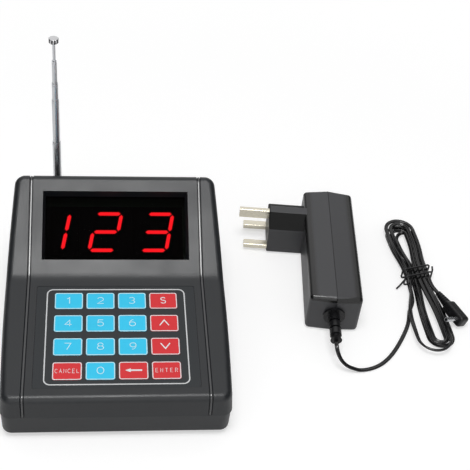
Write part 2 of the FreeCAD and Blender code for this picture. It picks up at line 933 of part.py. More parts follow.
tail_height = tail_start.z - board_top_height - d.connector_height
tail = block(
    ("-tail_width / 2", f"{tail_start.y} - tail_thick / 2", f"{board_top} + connector_height"),
    ("tail_width", "tail_thick", f"{tail_height} - tail_gap"),
)
node("keypad_tail", tail)

inner_rear = d.console_depth / 2 - d.base_step - d.wall
jack_rear = inner_rear - (d.parting - board_top_height) * math.tan(radians(d.base_draft)) - d.jack_wall_gap
jack = cut(
    block(
        ("jack_place - jack_width / 2", f"{jack_rear} - jack_length", board_top),
        ("jack_width", "jack_length", "jack_height"),
    ),
    rod(("jack_place", f"{jack_rear} - jack_depth", f"{board_top} + jack_axis"), "jack_bore",
        "jack_depth + overrun", "y"),
)
jack_pin = rod(("jack_place", f"{jack_rear} - jack_depth", f"{board_top} + jack_axis"), "jack_pin",
               "jack_pin_length", "y")
node("dc_jack", joined(jack, jack_pin))


# Cord tools: straight runs joined by tangent arcs


def bend_radius(before, point, after, share=0.45):
    turn = (point - before).getAngle(after - point)
    return share * min((point - before).Length, (after - point).Length) / math.tan(turn / 2)


def cord_path(points):
    """A wire along straight runs with a tangent arc at each point between them."""
    edges, start = [], points[0]
    for before, point, after in zip(points, points[1:], points[2:]):
        back = (before - point).normalize()
        ahead = (after - point).normalize()
        turn = (point - before).getAngle(after - point)
        radius = bend_radius(before, point, after)
        tangent = radius * math.tan(turn / 2)
        middle = point + (back + ahead).normalize() * (radius / math.cos(turn / 2) - radius)
        first, last = point + back * tangent, point + ahead * tangent
        edges.append(Part.LineSegment(start, first).toShape())
        edges.append(Part.Arc(first, middle, last).toShape())
        start = last
    edges.append(Part.LineSegment(start, points[-1]).toShape())
    return Part.Wire(edges)


def tube(path, radius):
    """A round solid along a wire."""
    first = path.Edges[0]
    start = first.valueAt(first.FirstParameter)
    ring = Part.Wire([Part.makeCircle(radius, start, first.tangentAt(first.FirstParameter))])
    return path.makePipeShell([ring], True, False)


mount_head_front = d.pad_inner - d.mount_head_gap - d.mount_head
lead_top = board_top_height + d.radio_height
lead_run = mount_head_front - radio_middle
lead_climb = d.pivot_height - lead_top
lead_shares = ((0, 0), (0, 0.55), (0.12, 0.78), (0.45, 1), (1, 1))
lead_points = [
    vector(d.antenna_place, radio_middle + lead_run * run, lead_top + lead_climb * climb)
    for run, climb in lead_shares
]
node("antenna_lead", feature(tube(cord_path(lead_points), d.lead_radius)))


# Antenna: screw, swivel, hinge pin, knuckle and the telescoping tubes

node("antenna_screw", joined(
    rod(("antenna_place", "pad_inner - mount_head_gap - mount_head", "pivot_height"), "mount_radius",
        "mount_head + mount_head_gap + pad_outer - pad_inner + pad_gap + mount_reach", "y"),
    rod(("antenna_place", "pad_inner - mount_head_gap - mount_head", "pivot_height"), "mount_head_radius",
        "mount_head", "y"),
))


def swivel():
    face = "(pad_outer + pad_gap)"
    disc = rod(("antenna_place", face, "pivot_height"), "swivel_radius", "swivel_thick", "y")
    ears = []
    for side in (-1, 1):
        low = "ear_inner" if side > 0 else "-ear_outer"
        ears.append(block(
            (f"antenna_place + {low}", face, "pivot_height - ear_end"),
            ("ear_outer - ear_inner", f"pivot_depth - {face}", "2 * ear_end"),
        ))
        ears.append(
            rod((f"antenna_place + {low}", "pivot_depth", "pivot_height"), "ear_end", "ear_outer - ear_inner", "x")
        )
    return cut(
        joined(disc, *ears),
        rod(("antenna_place", f"{face} - overrun", "pivot_height"), "mount_radius + pin_grip",
            "swivel_thick + 2 * overrun", "y"),
        rod(("antenna_place - 2 * ear_outer", "pivot_depth", "pivot_height"), "pin_radius + pin_grip",
            "4 * ear_outer", "x"),
    )


node("antenna_swivel", swivel())
node("antenna_pin", rod(
    ("antenna_place - ear_outer - pin_grip", "pivot_depth", "pivot_height"), "pin_radius",
    "2 * (ear_outer + pin_grip)", "x",
))

collar_low = "(pivot_height + collar_rise)"
tube_low = "(pivot_height + collar_rise + collar_height)"
knuckle = joined(
    rod(("antenna_place - knuckle_half", "pivot_depth", "pivot_height"), "knuckle_radius", "2 * knuckle_half", "x"),
    block(
        ("antenna_place - knuckle_half", "pivot_depth - tube_first / 2 + tube_wall", "pivot_height"),
        ("2 * knuckle_half", "tube_first - 2 * tube_wall", "collar_rise + collar_height / 2"),
    ),
    rod(("antenna_place", "pivot_depth", collar_low), "tube_first / 2", "collar_height"),
    rod(("antenna_place", "pivot_depth", tube_low), "tube_first / 2 - tube_wall - pin_grip", "spigot_height"),
)
node("antenna_knuckle", cut(knuckle, rod(
    ("antenna_place - 2 * ear_outer", "pivot_depth", "pivot_height"), "pin_radius + pin_room", "4 * ear_outer", "x",
)))

tube_top = f"({tube_low} + tube_first_length)"
TUBES = (
    ("antenna_tube_one", tube_low, tube_top, "tube_first / 2", "tube_first / 2 - tube_wall"),
    ("antenna_tube_two", f"({tube_top} + rise_second - tube_length)", f"({tube_top} + rise_second)",
     "tube_first / 2 - tube_step / 2", "tube_first / 2 - tube_step / 2 - tube_wall"),
    ("antenna_tube_three", f"({tube_top} + rise_second + rise_third - tube_length)",
     f"({tube_top} + rise_second + rise_third)", "tube_first / 2 - tube_step",
     "tube_first / 2 - tube_step - tube_wall"),
    ("antenna_tube_four", f"({tube_top} + rise_second + rise_third + rise_fourth - tube_length)",
     f"({tube_top} + rise_second + rise_third + rise_fourth)", "tube_first / 2 - 1.5 * tube_step",
     "tube_fourth_bore / 2"),
)
for name, low, high, radius, bore in TUBES:
    ring_low = f"{high} - crimp_drop"
    crimp = cut(
        rod(("antenna_place", "pivot_depth", ring_low), f"{radius} + overrun", "crimp_width"),
        rod(("antenna_place", "pivot_depth", f"{ring_low} - overrun"), f"{radius} - crimp_depth",
            "crimp_width + 2 * overrun"),
    )
    node(name, cut(
        rod(("antenna_place", "pivot_depth", low), radius, f"{high} - {low}"),
        rod(("antenna_place", "pivot_depth", f"{low} - overrun"), bore, f"{high} - {low} + 2 * overrun"),
        crimp,
    ))

rod_top = f"({tube_top} + rise_second + rise_third + rise_fourth + rise_rod)"
node("antenna_rod", rod(
    ("antenna_place", "pivot_depth", f"{rod_top} - tube_length"), "tube_fourth_bore / 2 - slide_gap", "tube_length",
))
tip = rod(("antenna_place", "pivot_depth", rod_top), "tip_radius", "tip_height")
node("antenna_tip", rounded(tip, d.tip_edge, lambda edge: edge.Closed))


# Adapter: two half shells that meet at the seam, the plug block and the pins

adapter_frame = FreeCAD.Placement(
    vector(d.adapter_x, d.adapter_y, 0), FreeCAD.Rotation(upward, d.adapter_turn)
)


def shell_half(side):
    """One half shell, thinned along the seam, with its cavity and its board stands."""
    half = doc.addObject("Part::Wedge", "Half")
    length, slant = "adapter_length", "adapter_draft"
    if side > 0:
        ends = {"Xmin": f"-{length}", "Xmax": "0", "X2min": f"{slant} - {length}", "X2max": f"-{slant}"}
    else:
        ends = {"Xmin": "0", "Xmax": length, "X2min": slant, "X2max": f"{length} - {slant}"}
    bind(half, **ends, Zmin="0", Zmax="adapter_height", Z2min="0", Z2max=f"adapter_height - {slant}",
         Ymin="seam_half", Ymax="adapter_half")
    half.Placement = FreeCAD.Placement(vector(), FreeCAD.Rotation(upward, -90 * side))
    seam, seam_tolerance = d.seam_half, d.seam_half / 10

    def away_from_seam(edge):
        return max(abs(vertex.X) for vertex in edge.Vertexes) > seam + seam_tolerance

    body = rounded(half, d.adapter_radius, away_from_seam)
    low_x = "0" if side > 0 else "-seam_half"
    tongue = block(
        (low_x, "seam_depth", "seam_depth"),
        ("seam_half", "adapter_length - 2 * seam_depth", "adapter_height - 2 * seam_depth"),
    )
    room_x = "-overrun" if side > 0 else "-(adapter_half - adapter_wall)"
    room = block(
        (room_x, "adapter_wall", "adapter_wall"),
        ("adapter_half - adapter_wall + overrun", "adapter_length - 2 * adapter_wall",
         "adapter_height - adapter_draft - 2 * adapter_wall"),
    )
    stands = [
        rod((f"{side} * circuit_stand_across", place, "adapter_wall"), "circuit_stand", "circuit_rise")
        for place in ("circuit_inset + circuit_stand * 2", "adapter_length - circuit_inset - circuit_stand * 2")
    ]
    entry = rod(("0", "-overrun", "boot_rise"), "boot_neck + boot_bore_gap", "adapter_wall + 2 * overrun", "y")
    return joined(cut(joined(body, tongue), room, entry), *stands)


def plug_form():
    """The block that carries the pins: upright sides and a narrowing top, pointing away to the left."""
    outline_points = [
        (-d.block_half, d.block_low), (d.block_half, d.block_low), (d.block_half, d.block_shoulder),
        (d.block_top_half, d.block_top), (-d.block_top_half, d.block_top), (-d.block_half, d.block_shoulder),
    ]
    root = -d.adapter_half + d.block_root
    points = [vector(root, d.block_place + y, z) for y, z in outline_points]
    form = Part.Face(Part.makePolygon(points + points[:1])).extrude(vector(-d.block_reach - d.block_root, 0, 0))
    soft = [edge for edge in form.Edges if edge.BoundBox.XMin < root - d.overrun]
    return form.makeFillet(d.block_radius, soft)


block_end = "(-adapter_half - block_reach)"
power_pins = [
    rounded(
        block(
            (f"{block_end} - power_length", f"block_place + {side} * power_spread - power_width / 2",
             "power_rise - power_thick / 2"),
            ("power_length + pin_root", "power_width", "power_thick"),
        ),
        d.pin_chamfer, runs_along(across),
    )
    for side in (-1, 1)
]
earth_pin = rounded(
    block(
        (f"{block_end} - earth_length", "block_place - earth_width / 2", "earth_rise - earth_thick / 2"),
        ("earth_length + pin_root", "earth_width", "earth_thick"),
    ),
    d.pin_chamfer, runs_along(across),
)
block_form = feature(plug_form())
node("adapter_case_left", cut(shell_half(-1), block_form), adapter_frame)
node("adapter_case_right", shell_half(1), adapter_frame)
node("plug_block", cut(block_form, *power_pins, earth_pin), adapter_frame)
node("power_pins", group(power_pins), adapter_frame)
node("earth_pin", earth_pin, adapter_frame)
circuit_low = "(adapter_wall + circuit_rise)"
node("adapter_board", block(
    ("-circuit_half", "circuit_inset", circuit_low),
    ("2 * circuit_half", "adapter_length - 2 * circuit_inset", "board_thick"),
), adapter_frame)
part_shares = (0.2, 0.7)
node("adapter_parts", group([
    block(
        ("-core_width / 2", "(adapter_length - core_length) / 2", f"{circuit_low} + board_thick"),
        ("core_width", "core_length", "core_height"),
    ),
    rod(("0", f"adapter_length * {part_shares[0]}", f"{circuit_low} + board_thick"), "store_radius",
        "store_length"),
    block(
        ("-core_width / 2", f"adapter_length * {part_shares[1]}", f"{circuit_low} + board_thick"),
        ("core_width / 2", "store_length", "store_radius * 2"),
    ),
]), adapter_frame)


# Boot: a ring against the adapter's end, slotted segments and a flared end


def turned(points, axis_start, axis):
    """A solid turned about an axis from (distance along it, radius) points."""
    side = axis.cross(upward).normalize()
    corners = [axis_start + axis * distance + side * radius for distance, radius in points]
    face = Part.Face(Part.makePolygon(corners + corners[:1]))
    return face.revolve(axis_start, axis, 360)


BOOT_SEGMENTS = 3


def boot_points():
    inner = d.adapter_wall + d.boot_bore_gap
    points = [
        (-inner - d.boot_inner_flange, 0), (-inner - d.boot_inner_flange, d.boot_inner_radius),
        (-inner, d.boot_inner_radius), (-inner, d.boot_neck), (0, d.boot_neck), (0, d.boot_flange_radius),
        (d.boot_flange, d.boot_flange_radius),
    ]
    place = d.boot_flange
    for _ in range(BOOT_SEGMENTS):
        points += [(place, d.boot_radius), (place + d.boot_segment, d.boot_radius)]
        place += d.boot_segment
        points += [(place, d.boot_neck), (place + d.boot_slot, d.boot_neck)]
        place += d.boot_slot
    return points + [(d.boot_length, d.boot_radius), (d.boot_length, 0)]


boot_start = adapter_frame.multVec(vector(0, 0, d.boot_rise))
boot_way = adapter_frame.Rotation.multVec(-along)
node("cord_boot", feature(turned(boot_points(), boot_start, boot_way)))


# Hank: ten runs in two layers, drawn in at the waist, with round turns at both ends

hank_frame = FreeCAD.Placement(vector(d.hank_x, d.hank_y, 0), FreeCAD.Rotation(upward, d.hank_turn))
HANK_RUNS = (
    (1, -2, 0), (-1, 2, 0), (1, -1, 0), (-1, 1, 0), (1, 0, 0),
    (-1, 0, 1), (1, -1, 1), (-1, 1, 1), (1, -2, 1), (-1, 2, 1),
)


def relief_way():
    aim, dip = radians(d.relief_aim), radians(d.relief_dip)
    return vector(math.cos(aim) * math.cos(dip), math.sin(aim) * math.cos(dip), -math.sin(dip))


relief_start = vector(d.relief_x, d.relief_y, d.relief_z)
start_way = vector(math.sin(radians(d.start_lean)), math.cos(radians(d.start_lean)), 0)
hank_start = vector(d.start_across, d.start_along, d.start_height)


def fan(way, slot, layer, side, wide=0):
    """The places where a run's fan ends and where its turn begins, at one end of the hank."""
    width = d.fan_inner + abs(slot) * d.strand_pitch + wide
    reach = (d.hank_top if side > 0 else d.hank_bottom) + layer * d.layer_slip
    back = d.layer_slip if side > 0 and slot == 0 else 0
    low = d.lay_height + layer * d.layer_pitch
    drop = (d.waist_height - d.lay_height) * (1 - d.fan_share)
    return (
        vector(-way * width, side * reach * d.fan_share, low + drop),
        vector(-way * width, side * (reach - back), low),
    )


def hank_knots():
    """Points and directions along the hank, in its own frame."""
    knots = [(hank_start + start_way * d.cord, start_way)]
    for number, (way, slot, layer) in enumerate(HANK_RUNS):
        heading = along * way
        wide = d.fan_wide if number == len(HANK_RUNS) - 2 else 0
        if number:
            ended, began = fan(way, slot, layer, -way, wide)
            turn_start = knots[-1][0]
            middle = (turn_start + began) / 2 - heading * abs(turn_start.x - began.x) / 2
            knots.append((middle, (began - turn_start).normalize()))
            knots.append((began, heading))
            knots.append((ended, heading))
        waist = vector(slot * d.strand_pitch, 0, d.waist_height + layer * d.layer_pitch)
        if number == len(HANK_RUNS) - 1:
            waist += vector(d.exit_shift, 0, d.exit_shift / 2)
            heading = FreeCAD.Rotation(upward, d.exit_lean).multVec(heading)
        knots.append((waist, heading))
        if number < len(HANK_RUNS) - 1:
            knots += [(point, heading) for point in fan(way, slot, layer, way)]
    turn_back = hank_frame.Rotation.inverted()
    end_way = turn_back.multVec(relief_way())
    end = hank_frame.inverse().multVec(relief_start) - end_way * d.cord
    return knots + [(end, end_way)]


def biarc(first, first_way, last, last_way):
    """Two arcs that leave one point and reach the other in the given directions."""
    gap = last - first
    ways = first_way + last_way
    spread = 2 * (1 - first_way.dot(last_way))
    if abs(spread) < 1e-9:
        reach = gap.dot(gap) / (4 * gap.dot(last_way))
    else:
        reach = (math.sqrt(gap.dot(ways) ** 2 + spread * gap.dot(gap)) - gap.dot(ways)) / spread
    first_tip, last_tip = first + first_way * reach, last - last_way * reach
    joint = (first_tip + last_tip) / 2
    edges = []
    for start, tip, end in ((first, first_tip, joint), (joint, last_tip, last)):
        turn = (tip - start).getAngle(end - tip)
        if turn < 1e-5:
            edges.append(Part.LineSegment(start, end).toShape())
            continue
        share = math.cos(turn / 2)
        middle = (start + tip * 2 * share + end) / (2 * (1 + share))
        edges.append(Part.Arc(start, middle, end).toShape())
    return edges


def hank_wire():
    knots = hank_knots()
    edges = [Part.LineSegment(hank_start, knots[0][0]).toShape()]
    for (first, first_way), (last, last_way) in zip(knots, knots[1:]):
        edges += biarc(first, first_way, last, last_way)
    end, end_way = knots[-1]
    edges.append(Part.LineSegment(end, end + end_way * d.cord).toShape())
    return Part.Wire(edges)


def least_gap(wire, thick):
    """The smallest distance between the surfaces of stretches that aren't neighbours."""
    points = wire.discretize(Distance=thick / 6)
    skip = 4 * 6
    least = min(
        (points[index] - other).Length
        for index in range(len(points)) for other in points[index + skip:]
    )
    return least - thick


hank_path = hank_wire()
hank = tube(hank_path, d.cord / 2)
node("cord_hank", feature(hank), hank_frame)
print("hank", len(hank_path.Edges), round(hank_path.Length, 1), "least gap", round(least_gap(hank_path, d.cord), 3))

# Free cord, from the boot down to the table and round to the hank

boot_end = boot_start + boot_way * d.boot_length
hank_join = hank_frame.multVec(hank_start)
join_way = hank_frame.Rotation.multVec(start_way)
CORD_ROUTE = (
    (152.2, -24.7, 16.75), (152.4, -28.0, 15.0), (153.8, -31.0, 11.8), (156.5, -33.2, 8.1),
    (160.6, -34.5, 4.9), (165.9, -35.0, 2.7), (172.4, -34.6, 1.7), (179.8, -32.7, 1.6),
    (186.9, -28.8, 1.6), (193.9, -22.3, 1.6), (200.9, -13.2, 1.6), (207.6, -2.6, 1.7),
)
cord_points = [boot_end, boot_end + boot_way * (vector(*CORD_ROUTE[0]) - boot_end).Length]
cord_points += [vector(*point) for point in CORD_ROUTE[1:]]
cord_points += [hank_join - join_way * d.last_run, hank_join]
free_path = cord_path(cord_points)
node("power_cord", feature(tube(free_path, d.cord / 2)))
cord_radii = [bend_radius(*three) for three in zip(cord_points, cord_points[1:], cord_points[2:])]
print("cord radii", [round(radius, 1) for radius in cord_radii])
print("cord runs", [round((last - first).Length, 1) for first, last in zip(cord_points, cord_points[1:])])
print("cord length", round(free_path.Length, 1), "volume share",
      round(nodes["power_cord"].Links[0].Shape.Volume / (free_path.Length * math.pi * d.cord ** 2 / 4), 4))


# Tie: two oblique rings of wire round the waist and their loose ends


def ring(first, last, middle_height):
    """A wire loop round the waist between two places at its sides."""
    half = vector(*last) - vector(*first)
    way, width = half / half.Length, half.Length / 2
    centre = (vector(*first) + vector(*last)) / 2
    rise = d.layer_pitch / 2 + d.cord / 2 + d.tie_gap + d.tie_radius
    corner = d.cord / 2 + d.tie_gap + d.tie_radius
    high = rise + d.exit_shift / 2
    places = [(width, -rise), (width, high), (-width, high), (-width, -rise)]
    corners = [centre + way * u + upward * (middle_height + w) for u, w in places]
    edges = []
    starts, ends = [], []
    for number, point in enumerate(corners):
        back = (corners[number - 1] - point).normalize()
        ahead = (corners[(number + 1) % 4] - point).normalize()
        starts.append(point + back * corner)
        ends.append(point + ahead * corner)
        middle = point + (back + ahead) * corner * (1 - math.sqrt(0.5))
        edges.append(Part.Arc(starts[-1], middle, ends[-1]).toShape())
    lines = [Part.LineSegment(ends[number], starts[(number + 1) % 4]).toShape() for number in range(4)]
    return Part.Wire([edge for pair in zip(edges, lines) for edge in pair])


def hank_tie():
    side = 2 * d.strand_pitch + d.exit_shift + d.cord / 2 + d.tie_gap + d.tie_radius + d.tie_slack
    middle_height = d.waist_height + d.layer_pitch / 2
    lean = d.cord
    upper = ring((-side, lean / 2, 0), (side, 2 * lean, 0), middle_height)
    lower = ring((-side, -2 * lean, 0), (side, -lean / 2, 0), middle_height)
    left_shares = ((0, -2), (1, -2.5), (2.2, -3.3))
    heights = (middle_height + lean / 2, middle_height / 2, d.tie_radius)
    left = [vector(-side - out * lean, run * lean, height) for (out, run), height in zip(left_shares, heights)]
    right_shares = ((0, -0.5, 0.5), (0.5, 0.5, 1), (0.8, 1.8, 0.9))
    right = [vector(side + out * lean, run * lean, middle_height + up * lean) for out, run, up in right_shares]
    shapes = [tube(path, d.tie_radius) for path in (upper, lower, cord_path(left), cord_path(right))]
    return shapes[0].multiFuse(shapes[1:])


node("hank_tie", feature(hank_tie()), hank_frame)


# Plug: a ribbed relief, a block rolled on its edge, and a barrel that stands off its upper face

plug_axis = relief_way()
plug_side_way = upward.cross(plug_axis).normalize() * -1
plug_rise = plug_axis.cross(plug_side_way)
plug_turn = FreeCAD.Rotation(plug_axis, plug_side_way, plug_rise, "XYZ")
plug_frame = FreeCAD.Placement(relief_start, plug_turn.multiply(FreeCAD.Rotation(across, -d.plug_roll)))


def relief_points():
    """The relief's outline: a cone with even slots cut round it."""
    pitch = 2 * d.relief_slot
    count = int(d.relief_length / pitch)
    slope = (d.relief_large - d.relief_small) / d.relief_length
    points = [(0, 0), (0, d.relief_small)]
    for number in range(count):
        for place, depth in ((1, 0), (1, 1), (2, 1), (2, 0)):
            distance = number * pitch + place * d.relief_slot
            points.append((distance, d.relief_small + slope * distance - depth * d.relief_groove))
    return points + [(d.relief_length, d.relief_large), (d.relief_length, 0)]


def plug_block_form():
    half = d.plug_side / 2
    form = Part.makeBox(d.plug_length, d.plug_side, d.plug_side, vector(d.relief_length, -half, -half))
    return form.makeFillet(d.plug_radius, form.Edges)


barrel_place = "relief_length + barrel_place"
relief = feature(turned(relief_points(), vector(), across))
core = cut(
    rod((barrel_place, "plug_side / 2 - barrel_root", "0"), "barrel_core", "barrel_root + barrel_length", "y"),
    rod((barrel_place, "plug_side / 2", "0"), "barrel_bore", "barrel_length + overrun", "y"),
)
barrel = rod(
    (barrel_place, "plug_side / 2 - barrel_root", "0"), "barrel_radius", "barrel_root + barrel_length", "y"
)
plug = joined(cut(feature(plug_block_form()), barrel), relief, core)
node("plug_body", plug, plug_frame)
node("plug_barrel", cut(barrel, rod(
    (barrel_place, "0", "0"), "barrel_core", "plug_side + barrel_length", "y",
)), plug_frame)


# Checks, the origin under the middle of the rigid pieces, and the files

doc.recompute()
for item in doc.Objects:
    if "Invalid" in item.State or "Error" in item.State:
        raise RuntimeError(f"{item.Label} is {item.State}")
for name, item in nodes.items():
    if item.Shape.isNull() or not item.Shape.isValid():
        raise RuntimeError(f"{name} has no valid shape")

LOOSE = ("power_cord", "cord_hank", "hank_tie", "plug_body", "plug_barrel", "cord_boot")
box = FreeCAD.BoundBox()
for name, item in nodes.items():
    if name not in LOOSE:
        box.add(item.Shape.optimalBoundingBox(False, False))
shift = vector(-box.Center.x, -box.Center.y, 0)
print("shift", tuple(round(value, 4) for value in shift), "size", round(box.XLength, 2), round(box.YLength, 2),
      round(box.ZLength, 2), "low", round(box.ZMin, 4))

os.makedirs("parts", exist_ok=True)
for name, item in nodes.items():
    item.Placement = FreeCAD.Placement(shift, FreeCAD.Rotation()).multiply(item.Placement)
doc.recompute()
for name, item in nodes.items():
    solids = item.Shape.Solids
    shape = solids[0] if len(solids) == 1 else item.Shape
    shape.exportStep(f"parts/{name}.step")
    print(name, len(solids), round(shape.Volume, 3))
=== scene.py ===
import math

import bmesh
import bpy
import numpy as np
from mathutils import Matrix, Vector


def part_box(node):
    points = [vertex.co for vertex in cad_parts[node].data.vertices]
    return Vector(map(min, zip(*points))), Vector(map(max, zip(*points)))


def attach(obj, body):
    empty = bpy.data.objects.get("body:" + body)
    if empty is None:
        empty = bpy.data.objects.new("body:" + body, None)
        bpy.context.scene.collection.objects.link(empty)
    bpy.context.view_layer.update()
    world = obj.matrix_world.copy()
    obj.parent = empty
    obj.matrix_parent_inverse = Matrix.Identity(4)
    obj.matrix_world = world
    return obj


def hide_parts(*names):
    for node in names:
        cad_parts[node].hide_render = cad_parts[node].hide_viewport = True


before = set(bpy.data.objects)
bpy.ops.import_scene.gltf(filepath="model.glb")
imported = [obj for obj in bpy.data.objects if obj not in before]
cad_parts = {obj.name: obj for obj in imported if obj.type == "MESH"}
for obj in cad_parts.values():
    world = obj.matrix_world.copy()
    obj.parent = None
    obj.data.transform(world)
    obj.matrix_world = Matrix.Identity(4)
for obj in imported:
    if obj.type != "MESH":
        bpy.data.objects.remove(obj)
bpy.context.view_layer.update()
mm = 0.001
baseLow, baseHigh = (np.array(corner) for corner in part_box("base_housing"))
consoleCentre = (baseLow + baseHigh) / 2 / mm * [1, 1, 0]  # the console's middle in the frame, in mm
print("frame loaded:", len(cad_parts), "nodes, console at", consoleCentre.round(4))


# places: the two slopes of the console, the keypad's and the display's, each with its own axes, in mm

keypadPlace = {"start": (0, -86.2177, 36.8), "slope": 4.6}
displayPlace = {"start": (0, 12.5631, 44.7476), "slope": 27.93}


def onSlope(points, place):
    # x stays, the second number runs up the slope and the third stands off it
    x, run, rise = np.moveaxis(np.asarray(points, float), -1, 0)
    slope = math.radians(place["slope"])
    start = np.array(place["start"]) + consoleCentre
    y = run * math.cos(slope) - rise * math.sin(slope)
    z = run * math.sin(slope) + rise * math.cos(slope)
    return (np.stack([x, y, z], -1) + start) * mm


def onConsole(points):
    return (np.asarray(points, float) + consoleCentre) * mm


# camera: the photograph's place and lens

cameraSettings = {
    "place": (-12.493, -501.527, 555.921),
    "yaw": 7.649,
    "pitch": 42.234,
    "roll": 5.359,
    "lens": 80.657,
    "shift": 0.07,
}


def makeCamera(s):
    yaw, pitch, roll = (math.radians(s[key]) for key in ("yaw", "pitch", "roll"))
    ahead = Vector((math.sin(yaw) * math.cos(pitch), math.cos(yaw) * math.cos(pitch), -math.sin(pitch)))
    side = Vector((math.cos(yaw), -math.sin(yaw), 0))
    above = side.cross(ahead)
    right = side * math.cos(roll) + above * math.sin(roll)
    up = above * math.cos(roll) - side * math.sin(roll)
    data = bpy.data.cameras.new("camera")
    data.lens, data.sensor_width, data.shift_x = s["lens"], 36, s["shift"]
    data.clip_start, data.clip_end = 0.01, 20
    camera = bpy.data.objects.new("camera", data)
    turn = Matrix((right, up, -ahead)).transposed().to_4x4()
    camera.matrix_world = Matrix.Translation(onConsole(s["place"])) @ turn
    bpy.context.collection.objects.link(camera)
    bpy.context.scene.camera = camera


makeCamera(cameraSettings)


# meshes


def addPiece(name, vertices, faces, smoothAngle=0):
    mesh = bpy.data.meshes.new(name)
    mesh.from_pydata(vertices, [], faces)
    shell = bmesh.new()
    shell.from_mesh(mesh)
    bmesh.ops.recalc_face_normals(shell, faces=shell.faces)
    shell.to_mesh(mesh)
    shell.free()
    mesh.polygons.foreach_set("use_smooth", [smoothAngle > 0] * len(mesh.polygons))
    if smoothAngle:
        mesh.set_sharp_from_angle(angle=math.radians(smoothAngle))
    piece = bpy.data.objects.new(name, mesh)
    bpy.context.collection.objects.link(piece)
    return piece


def gridFaces(rows, columns, endless=False):
    # quads between neighbouring closed rings; an endless grid also joins the last ring to the first
    row = np.arange(rows if endless else rows - 1)[:, None]
    column = np.arange(columns)[None, :]
    here, above = row * columns, (row + 1) % rows * columns
    after = (column + 1) % columns
    corners = (here + column, here + after, above + after, above + column)
    return np.stack(corners, -1).reshape(-1, 4)


def tubeShape(rings, endless=False):
    # vertices and faces of a tube through rings of points, with flat caps unless it is endless
    rows, columns = rings.shape[:2]
    faces = [tuple(face) for face in gridFaces(rows, columns, endless).tolist()]
    if not endless:
        faces += [tuple(range(columns))[::-1], tuple(range((rows - 1) * columns, rows * columns))]
    return rings.reshape(-1, 3), faces


def joinShapes(shapes):
    vertices, faces, count = [], [], 0
    for points, polygons in shapes:
        vertices.append(points)
        faces += [tuple(corner + count for corner in face) for face in polygons]
        count += len(points)
    return np.concatenate(vertices), faces


# cord: one flat twin lead from the boot, along the table and round the tied hank to the plug

bootSettings = {"foot": (155.0, 3.2), "turn": 5.7, "reach": 24.0, "height": 16.75}
cordSettings = {
    "width": 3.0,
    "lobe": 0.86,
    "route": (
        (152.2, -24.7, 16.75), (152.4, -28.0, 15.0), (153.8, -31.0, 11.8), (156.5, -33.2, 8.1),
        (160.6, -34.5, 4.9), (165.9, -35.0, 2.7), (172.4, -34.6, 1.7), (179.8, -32.7, 1.6),
        (186.9, -28.8, 1.6), (193.9, -22.3, 1.6), (200.9, -13.2, 1.6), (207.6, -2.6, 1.7),
    ),
    "step": 0.9,
    "settle": 3.2,
    "resting": 1.6,
    "looseFrom": 115.0,
    "looseOver": 30.0,
    "endOver": 20.0,
    "twists": ((0.9, 47.0, 0.6), (0.7, 21.3, 2.0)),  # swing, wave length and phase
}
hankSettings = {
    "centre": (229.5, 56.0),
    "turn": 3.0,
    "start": (-14.9, -36.3, 1.9),
    "lean": 19.0,
    "lead": (-11.0, 0.0, 3.0),
    "pitch": 3.65,
    "fanInner": 3.5,
    "fanWide": 6.0,
    "fanShare": 0.8,
    "low": 1.6,
    "waist": 2.9,
    "top": 46.5,
    "bottom": 60.5,
    "slip": 4.0,
    "exitShift": 0.9,
    "exitWide": 0.25,
    "firstFrom": -0.45,
    "runPoints": 25,
    # each run's way, its slot across the waist and its layer
    "runs": ((1, -2, 0), (-1, 2, 0), (1, -1, 0), (-1, 1, 0), (1, 0, 0),
             (-1, 0, 1), (1, -1, 1), (-1, 1, 1), (1, -2, 1), (-1, 2, 1)),
}
reliefSettings = {"start": (240.4, 33.6, 7.6), "aim": -66.0, "dip": 4.0, "approach": (9.0, 4.0, 0.0)}


def bootEnd(s):
    turn = math.radians(s["turn"])
    return (s["foot"][0] - s["reach"] * math.sin(turn), s["foot"][1] - s["reach"] * math.cos(turn), s["height"])


def reliefWay(s):
    aim, dip = math.radians(s["aim"]), math.radians(s["dip"])
    return np.array([math.cos(aim) * math.cos(dip), math.sin(aim) * math.cos(dip), -math.sin(dip)])


def inHank(points, s):
    turn = math.radians(s["turn"])
    x, y, z = np.moveaxis(np.asarray(points, float), -1, 0)
    return np.stack([
        x * math.cos(turn) - y * math.sin(turn) + s["centre"][0],
        x * math.sin(turn) + y * math.cos(turn) + s["centre"][1],
        z,
    ], -1)


def hankRun(s, way, slot, layer, first, last, wide):
    # a run bows from its fan to its slot at the waist, as two parabolas do, and back
    reach = {1: s["top"] + layer * s["slip"], -1: s["bottom"] + layer * s["slip"]}
    width = s["fanInner"] + abs(slot) * s["pitch"]
    share = np.linspace(-1, 1, s["runPoints"]) * way
    y = np.where(share < 0, share * reach[-1], share * reach[1])
    opened = np.clip(np.abs(share) / s["fanShare"], 0, 1)
    bow = np.where(opened < 0.5, 2 * opened ** 2, 1 - 2 * (1 - opened) ** 2)
    ends = np.where(share * way < 0, width + wide, width)
    x = slot * s["pitch"] * (1 - bow) - way * ends * bow
    z = s["waist"] + (s["low"] - s["waist"]) * np.abs(share) + layer * s["pitch"]
    if slot == 0:
        y = np.minimum(y, reach[1] - s["slip"])
    keep = np.ones(len(share), bool)
    if first:
        keep = share > s["firstFrom"]
    if last:
        x = x + s["exitShift"] * np.exp(-(share / s["exitWide"]) ** 2)
        keep = share > 0
    return np.stack([x, y, z], -1)[keep]


